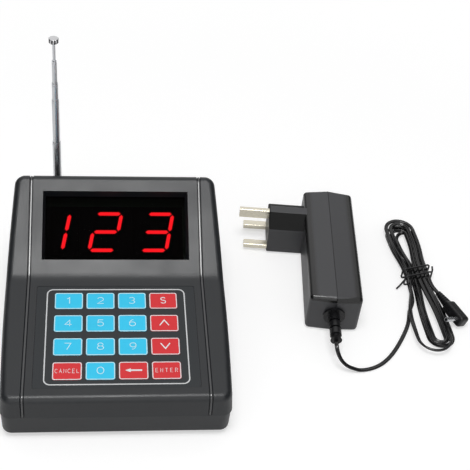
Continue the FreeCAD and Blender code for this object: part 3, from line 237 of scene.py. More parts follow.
def halfTurn(before, after, count=13):
    # points round the end of the hank, from one fan to the next
    angle = np.linspace(0, math.pi, count)[1:-1]
    centre, radius = (before + after) / 2, abs(after[0] - before[0]) / 2
    side = np.sign(before[0] - after[0])
    up = 1 if before[1] > 0 else -1
    x = centre[0] + side * radius * np.cos(angle)
    y = before[1] + (after[1] - before[1]) * angle / math.pi + up * radius * np.sin(angle)
    z = before[2] + (after[2] - before[2]) * angle / math.pi
    return np.stack([x, y, z], -1)


def hankPoints(s):
    lean = math.radians(s["lean"])
    lead = np.array([math.sin(lean), math.cos(lean), 0])
    points = [np.array(s["start"]) + lead * np.array(s["lead"])[:, None]]
    runs = s["runs"]
    for number, (way, slot, layer) in enumerate(runs):
        wide = s["fanWide"] if number == len(runs) - 2 else 0
        run = hankRun(s, way, slot, layer, number == 0, number == len(runs) - 1, wide)
        if number:
            points.append(halfTurn(points[-1][-1], run[0]))
        points.append(run)
    return inHank(np.concatenate(points), s)


def routePoints():
    approach = np.array(reliefSettings["approach"])[:, None]
    ending = np.array(reliefSettings["start"]) - reliefWay(reliefSettings) * approach
    return np.concatenate([[bootEnd(bootSettings)], cordSettings["route"], hankPoints(hankSettings), ending])


def smoothRoute(name, points):
    # an open spline along the route, read back as points
    curve = bpy.data.curves.new(name, "CURVE")
    curve.dimensions = "3D"
    spline = curve.splines.new("NURBS")
    spline.points.add(len(points) - 1)
    spline.points.foreach_set("co", np.c_[points, np.ones(len(points))].ravel())
    spline.order_u = 3
    spline.use_endpoint_u = True
    curve.resolution_u = 8
    carrier = bpy.data.objects.new(name, curve)
    read = bpy.data.meshes.new_from_object(carrier)
    line = np.empty(len(read.vertices) * 3)
    read.vertices.foreach_get("co", line)
    bpy.data.objects.remove(carrier)
    return line.reshape(-1, 3)


def evenSteps(line, step):
    lengths = np.r_[0, np.cumsum(np.linalg.norm(np.diff(line, axis=0), axis=1))]
    places = np.linspace(0, lengths[-1], int(lengths[-1] / step) + 1)
    return np.stack([np.interp(places, lengths, line[:, axis]) for axis in range(3)], -1), places


def twinSection(lobe, width, count=12):
    # two round cores side by side, with a groove between them
    offset = width / 2 - lobe
    meet = math.acos(-offset / lobe)
    angle = np.linspace(-meet, meet, count + 1)[:-1] + meet / count
    right = np.stack([offset + lobe * np.cos(angle), lobe * np.sin(angle)], -1)
    return np.concatenate([right, -right])


def makeCord(s):
    line = smoothRoute("cordRoute", onConsole(routePoints()))
    centres, places = evenSteps(line, s["step"] * mm)
    ahead = np.gradient(centres, axis=0)
    ahead /= np.linalg.norm(ahead, axis=1)[:, None]
    side = np.cross(ahead, [0, 0, 1.0])
    side /= np.linalg.norm(side, axis=1)[:, None]
    above = np.cross(side, ahead)
    length = places[-1]
    loose = np.clip((places - s["looseFrom"] * mm) / (s["looseOver"] * mm), 0, 1)
    twist = loose * sum(swing * np.sin(places / (wave * mm) + phase) for swing, wave, phase in s["twists"])
    twist *= np.clip((length - places) / (s["endOver"] * mm), 0, 1)
    section = twinSection(s["lobe"], s["width"]) * mm
    wide, high = section[None, :, 0], section[None, :, 1]
    turnedX, turnedY = np.cos(twist)[:, None], np.sin(twist)[:, None]
    across, rise = wide * turnedX - high * turnedY, wide * turnedY + high * turnedX
    rings = centres[:, None] + across[..., None] * side[:, None] + rise[..., None] * above[:, None]
    # the flat stretch lies on the table, thinner than the round tube it stands for
    settled = (1 - loose) * np.clip(s["settle"] - centres[:, 2] / mm, 0, 1)
    rings[..., 2] -= settled[:, None] * (s["resting"] - s["lobe"]) * mm
    cord = addPiece("twinCord", *tubeShape(rings), smoothAngle=50)
    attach(cord, "housing")
    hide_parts("power_cord", "cord_hank")
    print("cord length", round(float(length), 4))
    return cord


cord = makeCord(cordSettings)


# shading groups


def newGroup(name, inputs, outputs):
    group = bpy.data.node_groups.new(name, "ShaderNodeTree")
    for label, kind, value in inputs:
        socket = group.interface.new_socket(label, in_out="INPUT", socket_type=kind)
        if value is not None:
            socket.default_value = value
    for label, kind in outputs:
        group.interface.new_socket(label, in_out="OUTPUT", socket_type=kind)
    source = group.nodes.new("NodeGroupInput")
    sink = group.nodes.new("NodeGroupOutput")
    return group, source, sink


def plug(tree, value, socket):
    if hasattr(value, "is_output"):
        tree.links.new(value, socket)
    else:
        socket.default_value = value


def addNode(tree, kind, settings=None, **sockets):
    node = tree.nodes.new(kind)
    for key, value in (settings or {}).items():
        setattr(node, key, value)
    for key, value in sockets.items():
        plug(tree, value, node.inputs[key.replace("_", " ")])
    return node


def mathNode(tree, operation, *values):
    node = addNode(tree, "ShaderNodeMath", {"operation": operation})
    for value, socket in zip(values, node.inputs):
        plug(tree, value, socket)
    return node.outputs["Value"]


def rangeNode(tree, value, first=(0.0, 1.0), last=(0.0, 1.0), steps="LINEAR"):
    # carries a value over from the first range to the last
    node = addNode(tree, "ShaderNodeMapRange", {"interpolation_type": steps}, Value=value)
    for label, number in zip(("From Min", "From Max", "To Min", "To Max"), (*first, *last)):
        plug(tree, number, node.inputs[label])
    return node.outputs["Result"]


def mixNode(tree, kind, share, first, second):
    # kind is Color or Float, and each has sockets of its own on the node
    node = addNode(tree, "ShaderNodeMix", {"data_type": {"Color": "RGBA", "Float": "FLOAT"}[kind]})
    inputs = {socket.identifier: socket for socket in node.inputs}
    for label, value in (("Factor_Float", share), ("A_" + kind, first), ("B_" + kind, second)):
        plug(tree, value, inputs[label])
    return {socket.identifier: socket for socket in node.outputs}["Result_" + kind]


def mouldedGroup():
    # spark-eroded grain of moulded plastic: fine cells for the bump, broad clouds for the gloss and tone
    group, source, sink = newGroup(
        "mouldedGrain",
        [("Color", "NodeSocketColor", (0.02, 0.02, 0.02, 1)), ("Grain", "NodeSocketFloat", 900.0),
         ("Depth", "NodeSocketFloat", 0.12), ("Gloss", "NodeSocketFloat", 0.5),
         ("Tone", "NodeSocketFloat", 0.15)],
        [("Color", "NodeSocketColor"), ("Roughness", "NodeSocketFloat"), ("Normal", "NodeSocketVector")],
    )
    given, place = source.outputs, addNode(group, "ShaderNodeTexCoord").outputs["Object"]
    cells = addNode(group, "ShaderNodeTexNoise", Vector=place, Scale=given["Grain"], Detail=3.0, Roughness=0.6)
    clouds = addNode(group, "ShaderNodeTexNoise", Vector=place, Scale=38.0, Detail=4.0)
    bump = addNode(group, "ShaderNodeBump",
                   Distance=0.0002, Height=cells.outputs["Fac"], Strength=given["Depth"])
    spread = rangeNode(group, clouds.outputs["Fac"], (0.3, 0.7), (-0.5, 0.5))
    gloss = mathNode(group, "MULTIPLY_ADD", spread, 0.1, given["Gloss"])
    tone = mathNode(group, "MULTIPLY_ADD", spread, given["Tone"], 1.0)
    shade = addNode(group, "ShaderNodeVectorMath", {"operation": "SCALE"}, Vector=given["Color"], Scale=tone)
    group.links.new(shade.outputs["Vector"], sink.inputs["Color"])
    group.links.new(gloss, sink.inputs["Roughness"])
    group.links.new(bump.outputs["Normal"], sink.inputs["Normal"])
    return group


def bandGroup():
    # 1 between two heights of the piece and 0 outside them, with soft ends
    group, source, sink = newGroup(
        "heightBand",
        [("Low", "NodeSocketFloat", 0.0), ("High", "NodeSocketFloat", 0.01),
         ("Soft", "NodeSocketFloat", 0.0002)],
        [("Fac", "NodeSocketFloat")],
    )
    place = addNode(group, "ShaderNodeTexCoord").outputs["Object"]
    height = addNode(group, "ShaderNodeSeparateXYZ", Vector=place).outputs["Z"]
    passed = []
    for label in ("Low", "High"):
        above = mathNode(group, "SUBTRACT", height, source.outputs[label])
        share = mathNode(group, "DIVIDE", above, source.outputs["Soft"])
        passed.append(rangeNode(group, share, steps="SMOOTHSTEP"))
    group.links.new(mathNode(group, "SUBTRACT", *passed), sink.inputs["Fac"])
    return group


mouldedGrain = mouldedGroup()
heightBand = bandGroup()


# materials


def newMaterial(name):
    material = bpy.data.materials.new(name)
    material.use_nodes = True
    return material, material.node_tree, material.node_tree.nodes["Principled BSDF"]


def mouldedMaterial(name, color, gloss, grain, depth, tone=0.15, specular=0.5):
    material, tree, shader = newMaterial(name)
    group = addNode(tree, "ShaderNodeGroup", {"node_tree": mouldedGrain},
                    Color=(*color, 1), Grain=grain, Depth=depth, Gloss=gloss, Tone=tone)
    for output, socket in (("Color", "Base Color"), ("Roughness", "Roughness"), ("Normal", "Normal")):
        tree.links.new(group.outputs[output], shader.inputs[socket])
    shader.inputs["Specular IOR Level"].default_value = specular
    return material


def shadeBandMaterial(name, color, gloss, grain, depth, specular, shadeBand):
    # grained plastic with a band of painted shade between two heights: darker in colour there, and of another
    # gloss
    material = mouldedMaterial(name, color, gloss, grain, depth, specular=specular)
    tree = material.node_tree
    shader, grained = tree.nodes["Principled BSDF"], tree.nodes["Group"]
    inShadeBand = addNode(tree, "ShaderNodeGroup", {"node_tree": heightBand},
                     Low=shadeBand["low"] * mm, High=shadeBand["high"] * mm, Soft=shadeBand["soft"] * mm).outputs["Fac"]
    shade = mixNode(tree, "Color", inShadeBand, grained.outputs["Color"], (*shadeBand["color"], 1))
    polish = mixNode(tree, "Float", inShadeBand, grained.outputs["Roughness"], shadeBand["gloss"])
    tree.links.new(shade, shader.inputs["Base Color"])
    tree.links.new(polish, shader.inputs["Roughness"])
    return material


def metalMaterial(name, color, roughness, streaks):
    # drawn or turned metal: streaks along the piece vary its gloss
    material, tree, shader = newMaterial(name)
    place = addNode(tree, "ShaderNodeTexCoord").outputs["Object"]
    stretch = addNode(tree, "ShaderNodeMapping", Vector=place, Scale=streaks).outputs["Vector"]
    noise = addNode(tree, "ShaderNodeTexNoise", Vector=stretch, Scale=1.0, Detail=3.0).outputs["Fac"]
    gloss = rangeNode(tree, noise, last=(roughness * 0.6, roughness * 1.6))
    tree.links.new(gloss, shader.inputs["Roughness"])
    shader.inputs["Base Color"].default_value = (*color, 1)
    shader.inputs["Metallic"].default_value = 1.0
    return material


def fluteShadedMaterial(name, color, hollow, roughness, streaks):
    # turned metal with painted shade: darker where its flute attribute is 1, in the flute hollows
    material = metalMaterial(name, color, roughness, streaks)
    tree = material.node_tree
    fluteShade = addNode(tree, "ShaderNodeAttribute", {"attribute_name": "fluteShade"}).outputs["Fac"]
    shade = mixNode(tree, "Color", fluteShade, (*color, 1), (*hollow, 1))
    tree.links.new(shade, tree.nodes["Principled BSDF"].inputs["Base Color"])
    return material


def glowMaterial(name, color, strength):
    # a lit bar: full in its core and weaker towards its rim, as its glow attribute says
    material, tree, shader = newMaterial(name)
    shader.inputs["Base Color"].default_value = (*color, 1)
    glow = addNode(tree, "ShaderNodeAttribute", {"attribute_name": "glow"}).outputs["Fac"]
    spread = rangeNode(tree, glow, last=(0.12, 1.0))
    shade = addNode(tree, "ShaderNodeVectorMath", {"operation": "SCALE"}, Vector=color, Scale=spread)
    tree.links.new(shade.outputs["Vector"], shader.inputs["Emission Color"])
    shader.inputs["Emission Strength"].default_value = strength
    return material


def lensMaterial(name, color, roughness, specular, alpha):
    material, _, shader = newMaterial(name)
    shader.inputs["Base Color"].default_value = (*color, 1)
    shader.inputs["Roughness"].default_value = roughness
    shader.inputs["Specular IOR Level"].default_value = specular
    shader.inputs["Alpha"].default_value = alpha
    return material


# painted shade: near-black colour on the adapter's rounded top edges, where the curved plastic reflects dark
# surroundings
adapterShadeBand = {"low": 28.6, "high": 32.35, "soft": 0.3, "color": (0.002, 0.002, 0.002), "gloss": 0.22}
# painted shade: near-black colour on the plug block's slanted facet, which reflects dark surroundings
blockShadeBand = {"low": 24.0, "high": 31.7, "soft": 0.15, "color": (0.002, 0.002, 0.002), "gloss": 0.85}
materials = {
    "case": mouldedMaterial("caseBlack", (0.0105, 0.0122, 0.0145), 0.365, 1500.0, 0.3, specular=0.5),
    "bead": mouldedMaterial("beadSatin", (0.02, 0.021, 0.023), 0.2, 1500.0, 0.05, specular=1.0),
    "adapter": shadeBandMaterial("adapterBlack", (0.034, 0.0345, 0.038), 0.42, 1900.0, 0.3, 0.6, adapterShadeBand),
    "block": shadeBandMaterial("blockBlack", (0.045, 0.0455, 0.049), 0.36, 1900.0, 0.2, 0.45, blockShadeBand),
    "film": mouldedMaterial("filmDark", (0.024, 0.027, 0.03), 0.45, 2600.0, 0.15, tone=0.1, specular=0.3),
    "keyBlue": mouldedMaterial("keyBlue", (0.05, 0.6, 0.9), 0.45, 2600.0, 0.12, tone=0.04, specular=0.15),
    "keyRed": mouldedMaterial("keyRed", (0.7, 0.045, 0.052), 0.45, 2600.0, 0.12, tone=0.04, specular=0.15),
    "ink": mouldedMaterial("inkWhite", (0.78, 0.8, 0.82), 0.5, 2600.0, 0.1, tone=0.05, specular=0.15),
    "inkBlue": mouldedMaterial("inkPale", (0.6, 0.84, 0.9), 0.5, 2600.0, 0.1, tone=0.05, specular=0.15),
    "silver": mouldedMaterial("inkSilver", (0.66, 0.67, 0.68), 0.4, 2600.0, 0.1, tone=0.1, specular=0.2),
    "rubber": mouldedMaterial("rubberBlack", (0.008, 0.008, 0.009), 0.3, 1200.0, 0.1, specular=0.4),
    "cord": mouldedMaterial("cordBlack", (0.003, 0.003, 0.0035), 0.12, 1500.0, 0.004, specular=0.6),
    "chrome": metalMaterial("chromeDrawn", (0.62, 0.63, 0.65), 0.24, (900, 900, 25)),
    # painted shade: the knob is near black in its flute hollows, where its reflections fall dark
    "knob": fluteShadedMaterial("knobTurned", (0.6, 0.6, 0.61), (0.02, 0.02, 0.022), 0.2, (900, 900, 200)),
    "hinge": metalMaterial("hingeNickel", (0.62, 0.61, 0.6), 0.2, (300, 300, 300)),
    "screw": metalMaterial("screwZinc", (0.5, 0.5, 0.5), 0.3, (700, 700, 700)),
    "pin": metalMaterial("pinBrass", (0.7, 0.66, 0.55), 0.25, (60, 800, 800)),
    "lit": glowMaterial("digitLit", (1.0, 0.008, 0.014), 7.0),
    "lens": lensMaterial("lensDark", (0.0005, 0.0002, 0.0002), 0.12, 0.002, 0.6),
    "digitBody": mouldedMaterial("digitBody", (0.002, 0.002, 0.002), 0.5, 900.0, 0.05, specular=0.01),
    "board": mouldedMaterial("boardGreen", (0.01, 0.09, 0.03), 0.35, 500.0, 0.1),
    "part": mouldedMaterial("partBlack", (0.02, 0.02, 0.02), 0.5, 900.0, 0.2),
    "sheet": mouldedMaterial("sheetClear", (0.4, 0.42, 0.42), 0.3, 900.0, 0.05),
    "shield": metalMaterial("shieldTin", (0.6, 0.6, 0.6), 0.3, (200, 200, 200)),
}
dressing = {
    "case": ["upper_housing", "base_housing"],
    "rubber": ["rubber_feet", "cord_boot", "plug_body", "hank_tie", "antenna_lead"],
    "screw": ["case_screws", "display_screws", "board_screws", "antenna_screw", "snap_domes"],
    "lens": ["display_lens"],
    "digitBody": ["digit_modules"],
    "board": ["display_board", "main_board", "adapter_board"],
    "film": ["keypad_overlay"],
    "sheet": ["keypad_circuit", "keypad_spacer", "keypad_tail"],
    "part": ["board_parts", "buzzer", "dc_jack", "adapter_parts"],
    "shield": ["radio_module"],
    "keyBlue": ["key_" + digit for digit in "0123456789"],
    "keyRed": ["key_s", "key_up", "key_down", "key_cancel", "key_left", "key_enter"],
    "hinge": ["antenna_swivel", "antenna_pin", "antenna_knuckle"],
    "chrome": ["antenna_tube_one", "antenna_tube_two", "antenna_tube_three", "antenna_tube_four",
               "antenna_rod", "plug_barrel"],
    "adapter": ["adapter_case_left", "adapter_case_right"],
    "block": ["plug_block"],
    "pin": ["power_pins", "earth_pin"],
}
roundedNodes = ("upper_housing", "base_housing", "adapter_case_left", "adapter_case_right", "plug_block",
                "plug_body")

for finish, names in dressing.items():
    for name in names:
        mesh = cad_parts[name].data
        mesh.materials.clear()
        mesh.materials.append(materials[finish])
for name in roundedNodes:
    # wide flat faces keep their own direction, and only the rounded edges turn
    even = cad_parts[name].modifiers.new("evenNormals", "WEIGHTED_NORMAL")
    even.weight, even.keep_sharp = 100, True
cord.data.materials.append(materials["cord"])
print("materials set")


# digits: slanted bars with pointed ends, each brighter in its core

digitSettings = {
    "pitch": 36.3, "middle": -7.1, "rise": 36.6, "width": 20.4, "height": 30.0, "stroke": 2.8, "slant": 10.7,
    "gap": 1.1, "face": -9.0, "plate": 0.4, "rim": 0.55, "endRim": 0.88, "digits": ("bc", "abged", "abgcd"),
}


def litBar(name, s):
    side, rise = s["width"] / 2 - s["stroke"] / 2, s["height"] / 2 - s["stroke"] / 2
    x, y, upright = {
        "a": (0, rise, False), "b": (side, rise / 2, True), "c": (side, -rise / 2, True),
        "d": (0, -rise, False), "e": (-side, -rise / 2, True), "g": (0, 0, False),
    }[name]
    half = (rise if upright else side * 2) / 2 - s["gap"] / 2
    stroke = s["stroke"] / 2
    outline = np.array([(half, 0), (half - stroke, stroke), (stroke - half, stroke), (-half, 0),
                        (stroke - half, -stroke), (half - stroke, -stroke)])
    core = outline * [(half - s["endRim"]) / half, (stroke - s["rim"]) / stroke]
    rings = np.stack([outline, outline, core])
    rings = rings[..., ::-1] if upright else rings
    levels = np.array([s["face"], s["face"] + s["plate"], s["face"] + s["plate"]])[:, None, None]
    places = np.concatenate([rings + [x, y], np.broadcast_to(levels, (3, 6, 1))], -1)
    places[..., 0] += places[..., 1] * math.tan(math.radians(s["slant"]))
    return places


def makeDigits(s):
    shapes = []
    for number, bars in enumerate(s["digits"]):
        shift = [s["middle"] + (number - 1) * s["pitch"], s["rise"], 0]
        shapes += [tubeShape(litBar(name, s) + shift) for name in bars]
    vertices, faces = joinShapes(shapes)
    digits = addPiece("litDigits", onSlope(vertices, displayPlace), faces)
    glow = digits.data.attributes.new("glow", "FLOAT", "POINT")
    glow.data.foreach_set("value", np.tile(np.repeat([0.0, 0.0, 1.0], 6), len(shapes)))
    digits.data.materials.append(materials["lit"])
    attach(digits, "housing")
    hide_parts("lit_segments")


makeDigits(digitSettings)
print("digits lit")


# beads: a fine ridge with a flat top along the middle of each groove, over the console's whole profile

beadSettings = {
    "across": 59.05, "radius": 0.6, "sink": 0.72, "sides": 16, "flat": 1.3, "step": 1.0,
    "corners": ((-87.45, 21.2), keypadPlace["start"][1:], displayPlace["start"][1:], (82.6663, 81.9107),
                (87.44, 21.2)),
    "radii": (4.5, -18.0, 4.5),
}


def roundedLine(corners, radii, inset):
    # a line moved inwards, with a tangent arc at each inner corner; a hollow corner's radius is negative
    corners = np.array(corners, float)
    ways = np.diff(corners, axis=0)
    ways /= np.linalg.norm(ways, axis=1)[:, None]
    inward = np.stack([ways[:, 1], -ways[:, 0]], -1)
    both = (inward[:-1] + inward[1:]) / (1 + (inward[:-1] * inward[1:]).sum(1))[:, None]
    moved = np.concatenate([[inward[0]], both, [inward[-1]]]) * inset + corners
    points = [moved[:1]]
    for corner, before, after, radius in zip(moved[1:-1], ways[:-1], ways[1:], radii):
        reach = abs(radius - inset)
        turn = math.acos(before @ after)
        share = np.linspace(0, 1, 17)[:, None] * turn
        side = (after - before * (before @ after)) / math.sin(turn)
        start = corner - before * reach * math.tan(turn / 2)
        points.append(start + reach * (before * np.sin(share) + side * (1 - np.cos(share))))
    return np.concatenate([*points, moved[-1:]])


def makeBead(name, across, s):
    profile = roundedLine(s["corners"], s["radii"], s["sink"])
    line, _ = evenSteps(np.c_[profile, np.zeros(len(profile))], s["step"])
    ahead = np.gradient(line, axis=0)[:, :2]
    ahead /= np.linalg.norm(ahead, axis=1)[:, None]
    angle = np.arange(s["sides"]) * 2 * math.pi / s["sides"]
    out, up = s["radius"] * np.clip(s["flat"] * np.stack([np.cos(angle), np.sin(angle)]), -1, 1)
    y = line[:, :1] - ahead[:, 1:] * up
    z = line[:, 1:2] + ahead[:, :1] * up
    rings = np.stack([np.broadcast_to(across + out, y.shape), y, z], -1)
    bead = addPiece(name, *tubeShape(onConsole(rings)), smoothAngle=25)
    bead.data.materials.append(materials["bead"])
    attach(bead, "housing")


makeBead("grooveBeadLeft", -beadSettings["across"], beadSettings)
makeBead("grooveBeadRight", beadSettings["across"], beadSettings)


# knob: the antenna's tip, a short cylinder with round edges and upright flutes

tipSettings = {"clear": 0.1, "ribs": 10, "ribDepth": 0.28, "steep": 1.6, "edge": 0.45, "around": 144}


def makeTip(s):
    low, high = (np.array(corner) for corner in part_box("antenna_tip"))
    low[2] += s["clear"] * mm
    centre, radius = (low + high) / 2, (high[0] - low[0]) / 2
    edge, half = s["edge"] * mm, (high[2] - low[2]) / 2
    bend = np.linspace(0, math.pi / 2, 5)
    inset = np.r_[edge * (1 - np.sin(bend)), edge * (1 - np.cos(bend))]
    level = np.r_[edge * (1 - np.cos(bend)) - half, half - edge * (1 - np.sin(bend))]
    angle = np.arange(s["around"]) * 2 * math.pi / s["around"]
    hollow = (np.clip(np.cos(angle * s["ribs"]) * s["steep"], -1, 1) + 1) / 2
    deep = np.clip(1 - inset / edge, 0, 1)[:, None]
    reach = radius - inset[:, None] - s["ribDepth"] * mm * hollow * deep
    upright = np.broadcast_to(level[:, None], reach.shape)
    rings = np.stack([reach * np.cos(angle), reach * np.sin(angle), upright], -1)
    tip = addPiece("antennaKnob", *tubeShape(rings + centre), smoothAngle=35)
    # this mask marks the hollows of the flutes, where the knob's material paints shade
    fluteShade = tip.data.attributes.new("fluteShade", "FLOAT", "POINT")
    fluteShade.data.foreach_set("value", ((hollow > 0.5) & (deep > 0.5)).ravel().astype(float))
    tip.data.materials.append(materials["knob"])
    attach(tip, "mast_tip")
    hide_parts("antenna_tip")


makeTip(tipSettings)
print("beads and knob made")


# keypad print: a ring and a legend on each key, and the silver line round them all

keySettings = {
    "halfWidth": 9.325, "halfHeight": 6.825, "corner": 1.6, "across": 21.06, "along": 19.1,
    "middle": 50.35, "face": -0.05, "proud": 0.02, "ring": 0.58, "inset": 0.1,
    "rows": (("key_1", "key_2", "key_3", "key_s"), ("key_4", "key_5", "key_6", "key_up"),
             ("key_7", "key_8", "key_9", "key_down"), ("key_cancel", "key_0", "key_left", "key_enter")),
}
lineSettings = {
    "halfWidth": 46.45, "low": 10.95, "high": 89.25, "corner": 4.4, "line": 0.8, "film": -0.15, "proud": 0.02,
}
legendSettings = {
    "digit": {"size": (5.1, 5.7), "rise": 0.3, "pen": 0.5},
    "command": {"size": (4.4, 5.6), "rise": 0.3, "pen": 0.66},
    "arrow": {"size": (6.9, 5.2), "rise": 0.3, "pen": 0.8},
    "word": {"size": (2.05, 3.3), "rise": 0.1, "pen": 0.27, "pitch": {"cancel": 2.72, "enter": 3.15}},
    "left": {"length": 10.9, "head": 3.6, "headHalf": 1.45, "pen": 1.25, "rise": 0.2},
}


def arcLine(x, y, halfX, halfY, first, last, count=17):
    angle = np.radians(np.linspace(first, last, count))
    return np.stack([x + halfX * np.cos(angle), y + halfY * np.sin(angle)], -1)


def joinLines(*lines):
    return np.concatenate([np.asarray(line, float) for line in lines])


# each letter is a few pen strokes in a cell one wide and one high, about its middle
glyphs = {
    "0": [arcLine(0, 0, 0.47, 0.5, 0, 360, 33)],
    "1": [joinLines([(-0.22, 0.27)], [(0.1, 0.5)], [(0.1, -0.5)])],
    "2": [joinLines(arcLine(0, 0.2, 0.42, 0.3, 165, -38), [(-0.44, -0.5), (0.46, -0.5)])],
    "3": [joinLines(arcLine(-0.02, 0.25, 0.37, 0.25, 150, -80), arcLine(-0.02, -0.24, 0.43, 0.26, 80, -150))],
    "4": [joinLines([(0.2, -0.5), (0.2, 0.5), (-0.46, -0.22), (0.48, -0.22)])],
    "5": [joinLines([(0.38, 0.5), (-0.3, 0.5), (-0.38, 0.02)], arcLine(-0.02, -0.17, 0.43, 0.33, 135, -150))],
    "6": [arcLine(0, -0.18, 0.43, 0.32, 0, 360, 29), arcLine(0.2, -0.12, 0.63, 0.62, 180, 95)],
    "7": [joinLines([(-0.44, 0.5), (0.44, 0.5), (-0.12, -0.5)])],
    "8": [arcLine(0, 0.26, 0.36, 0.24, 0, 360, 25), arcLine(0, -0.24, 0.45, 0.26, 0, 360, 29)],
    "9": [arcLine(0, 0.18, 0.43, 0.32, 0, 360, 29), arcLine(-0.2, 0.12, 0.63, 0.62, 0, -85)],
    "S": [joinLines(arcLine(0, 0.25, 0.4, 0.25, 28, 260), arcLine(0, -0.25, 0.43, 0.25, 80, -155))],
    "up": [joinLines([(-0.5, -0.5), (0, 0.5), (0.5, -0.5)])],
    "down": [joinLines([(-0.5, 0.5), (0, -0.5), (0.5, 0.5)])],
    "C": [arcLine(0, 0, 0.5, 0.5, 44, 316)],
    "A": [joinLines([(-0.46, -0.5), (0, 0.5), (0.46, -0.5)]), joinLines([(-0.3, -0.16), (0.3, -0.16)])],
    "N": [joinLines([(-0.42, -0.5), (-0.42, 0.5), (0.42, -0.5), (0.42, 0.5)])],
    "E": [joinLines([(0.4, 0.5), (-0.4, 0.5), (-0.4, -0.5), (0.42, -0.5)]), joinLines([(-0.4, 0), (0.28, 0)])],
    "L": [joinLines([(-0.38, 0.5), (-0.38, -0.5), (0.42, -0.5)])],
    "T": [joinLines([(0, 0.5), (0, -0.5)]), joinLines([(-0.48, 0.5), (0.48, 0.5)])],
    "R": [joinLines([(-0.4, -0.5), (-0.4, 0.5)], arcLine(0.1, 0.24, 0.32, 0.26, 90, -90), [(-0.4, -0.02)]),
          joinLines([(0.05, -0.02), (0.44, -0.5)])],
}


def penStroke(line, half, low, high, endless=False, sharpest=0.45):
    # a stroke of even width along a flat line, with mitred corners and square walls
    if endless:
        before, after = np.roll(line, 1, 0), np.roll(line, -1, 0)
    else:
        before, after = np.r_[line[:1], line[:-1]], np.r_[line[1:], line[-1:]]
    arriving, leaving = line - before, after - line
    arriving = np.where(np.abs(arriving).sum(1)[:, None] > 0, arriving, leaving)
    leaving = np.where(np.abs(leaving).sum(1)[:, None] > 0, leaving, arriving)
    arriving = arriving / np.linalg.norm(arriving, axis=1)[:, None]
    leaving = leaving / np.linalg.norm(leaving, axis=1)[:, None]
    ahead = arriving + leaving
    ahead /= np.linalg.norm(ahead, axis=1)[:, None]
    mitre = half / np.maximum((ahead * leaving).sum(1), sharpest)[:, None]
    side = np.stack([-ahead[:, 1], ahead[:, 0]], -1) * mitre
    edges = ((line + side, low), (line + side, high), (line - side, high), (line - side, low))
    rings = np.stack([np.c_[edge, np.full(len(line), level)] for edge, level in edges], 1)
    return tubeShape(rings, endless)


def roundBox(halfX, halfY, corner, count=9):
    # a closed line round a rectangle with round corners, from its upper right corner
    quarter = np.linspace(0, math.pi / 2, count)
    return np.concatenate([
        np.stack([sideX * (halfX - corner) + corner * np.cos(quarter + turn),
                  sideY * (halfY - corner) + corner * np.sin(quarter + turn)], -1)
        for sideX, sideY, turn in ((1, 1, 0), (-1, 1, math.pi / 2), (-1, -1, math.pi),
                                   (1, -1, 1.5 * math.pi))
    ])


def writeGlyph(name, s, low, high, shift=0.0):
    size, lift = np.array(s["size"]), np.array([shift, s["rise"]])
    shapes = []
    for stroke in glyphs[name]:
        line = stroke * (size - s["pen"]) + lift
        closed = np.allclose(line[0], line[-1])
        shapes.append(penStroke(line[:-1] if closed else line, s["pen"] / 2, low, high, closed))
    return shapes


def leftArrow(s, low, high):
    half, tip = s["pen"] / 2, -s["length"] / 2
    neck = tip + s["head"]
    outline = np.array([(tip, 0), (neck, -s["headHalf"]), (neck, -half), (-tip, -half),
                        (-tip, half), (neck, half), (neck, s["headHalf"])]) + [0, s["rise"]]
    rings = np.stack([np.c_[outline, np.full(len(outline), level)] for level in (low, high)])
    return [tubeShape(rings)]


def writeLegend(name, low, high):
    s, legend = legendSettings, name.removeprefix("key_")
    if legend.isdigit():
        return writeGlyph(legend, s["digit"], low, high)
    if legend == "s":
        return writeGlyph("S", s["command"], low, high)
    if legend in ("up", "down"):
        return writeGlyph(legend, s["arrow"], low, high)
    if legend == "left":
        return leftArrow(s["left"], low, high)
    pitch = s["word"]["pitch"][legend]
    places = (np.arange(len(legend)) - (len(legend) - 1) / 2) * pitch
    return [shape for letter, place in zip(legend.upper(), places)
            for shape in writeGlyph(letter, s["word"], low, high, place)]


def printKeys(s):
    low, high = s["face"], s["face"] + s["proud"]
    half = s["ring"] / 2
    shrunk = s["inset"] + half
    outline = roundBox(s["halfWidth"] - shrunk, s["halfHeight"] - shrunk, s["corner"] - half)
    for line, names in enumerate(s["rows"]):
        for column, name in enumerate(names):
            shapes = [penStroke(outline, half, low, high, True), *writeLegend(name, low, high)]
            vertices, faces = joinShapes(shapes)
            place = [(column - 1.5) * s["across"], s["middle"] + (1.5 - line) * s["along"], 0]
            ink = addPiece(name + "Print", onSlope(vertices + place, keypadPlace), faces)
            ink.data.materials.append(materials["inkBlue" if name[-1].isdigit() else "ink"])
            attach(ink, name.replace("key", "press"))


def printLine(s):
    half = s["line"] / 2
    outline = roundBox(s["halfWidth"] - half, (s["high"] - s["low"]) / 2 - half, s["corner"] - half)
    vertices, faces = penStroke(outline, half, s["film"], s["film"] + s["proud"], True)
    line = addPiece("keypadLine", onSlope(vertices + [0, (s["high"] + s["low"]) / 2, 0], keypadPlace), faces)
    line.data.materials.append(materials["silver"])
    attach(line, "housing")


printKeys(keySettings)
printLine(lineSettings)
print("keypad printed")


# studio: white to the camera, a pale floor, a wide lamp overhead and a weak one far in front

studioSettings = {
    "ambient": 0.45,
    "sideLevel": 0.15,
    "sideFrom": (0.2, 0.65),
    "floorMirrored": 0.2,
    "floor": (0.86, 0.86, 0.86),
    "floorHalf": 4.0,
    "floorLift": 0.3,
    "fadeShare": 0.3,
    "fade": (0.12, 0.5),
    "lamp": {"place": (-15, -215, 1236), "aim": (0, 30, 60), "size": (0.5, 0.42), "power": 6.8},
    "fill": {"place": (-300, -1500, 900), "aim": (20, 0, 30), "size": (1.2, 0.8), "power": 2.0},
}


def seenDirectly(tree):
    # 1 for the camera's own rays, and 1 for those from a mirror or through glass; rays that light are 0
    path = addNode(tree, "ShaderNodeLightPath").outputs
    return path["Is Camera Ray"], mathNode(tree, "MAXIMUM", path["Is Glossy Ray"], path["Is Transmission Ray"])


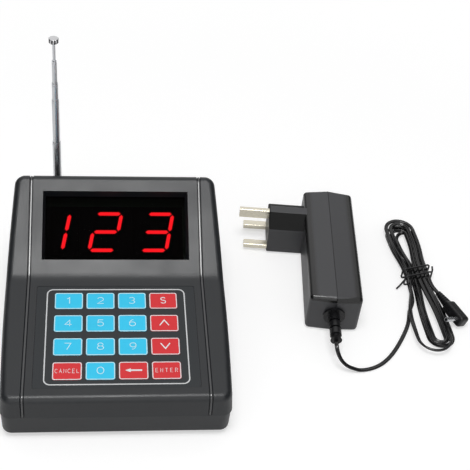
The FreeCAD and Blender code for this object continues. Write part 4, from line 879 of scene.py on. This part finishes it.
def addLamp(name, s):
    data = bpy.data.lights.new(name, "AREA")
    data.shape, data.size, data.size_y, data.energy = "RECTANGLE", *s["size"], s["power"]
    lamp = bpy.data.objects.new(name, data)
    place, aim = Vector(onConsole(s["place"])), Vector(onConsole(s["aim"]))
    turn = (place - aim).to_track_quat("Z", "Y").to_matrix().to_4x4()
    lamp.matrix_world = Matrix.Translation(place) @ turn
    bpy.context.collection.objects.link(lamp)


def makeWorld(s):
    # white to the camera, white with dark flags at both sides in reflections, and a plain soft light
    world = bpy.data.worlds.new("studio")
    bpy.context.scene.world = world
    world.use_nodes = True
    tree = world.node_tree
    tree.nodes["Background"].inputs["Color"].default_value = (1, 1, 1, 1)
    direction = addNode(tree, "ShaderNodeTexCoord").outputs["Generated"]
    sideways = mathNode(tree, "ABSOLUTE", addNode(tree, "ShaderNodeSeparateXYZ", Vector=direction).outputs["X"])
    flags = rangeNode(tree, sideways, s["sideFrom"], (1.0, s["sideLevel"]), "SMOOTHSTEP")
    seen, mirrored = seenDirectly(tree)
    level = rangeNode(tree, mirrored, last=(s["ambient"], flags))
    strength = rangeNode(tree, seen, last=(level, 1.0))
    tree.links.new(strength, tree.nodes["Background"].inputs["Strength"])


def makeFloor(s):
    # pale where it is lit, raised to white for the camera, more so with distance, and it keeps the shadow
    material, tree, shader = newMaterial("floorPale")
    shader.inputs["Base Color"].default_value = (*s["floor"], 1)
    shader.inputs["Roughness"].default_value = 0.9
    shader.inputs["Specular IOR Level"].default_value = 0.0
    place = addNode(tree, "ShaderNodeTexCoord").outputs["Object"]
    distance = addNode(tree, "ShaderNodeVectorMath", {"operation": "LENGTH"}, Vector=place).outputs["Value"]
    far = rangeNode(tree, distance, s["fade"], (s["fadeShare"], 1.0), "SMOOTHSTEP")
    seen, mirrored = seenDirectly(tree)
    every = mathNode(tree, "MAXIMUM", mathNode(tree, "MULTIPLY", mirrored, s["floorMirrored"]), seen)
    lift = addNode(tree, "ShaderNodeEmission", Strength=mathNode(tree, "MULTIPLY", every, s["floorLift"]))
    raised = addNode(tree, "ShaderNodeAddShader")
    tree.links.new(shader.outputs["BSDF"], raised.inputs[0])
    tree.links.new(lift.outputs["Emission"], raised.inputs[1])
    white = addNode(tree, "ShaderNodeEmission")
    mixed = addNode(tree, "ShaderNodeMixShader", Fac=mathNode(tree, "MULTIPLY", far, every))
    tree.links.new(raised.outputs["Shader"], mixed.inputs[1])
    tree.links.new(white.outputs["Emission"], mixed.inputs[2])
    tree.links.new(mixed.outputs["Shader"], tree.nodes["Material Output"].inputs["Surface"])
    wide = s["floorHalf"]
    floor = addPiece("floorPale", [(-wide, -wide, 0), (wide, -wide, 0), (wide, wide, 0), (-wide, wide, 0)],
                     [(0, 1, 2, 3)])
    floor.data.materials.append(material)


def makeStudio(s):
    makeWorld(s)
    makeFloor(s)
    addLamp("overhead", s["lamp"])
    addLamp("fill", s["fill"])


makeStudio(studioSettings)
bpy.context.scene.view_settings.view_transform = "Standard"
print("studio lit")

print("finishing")
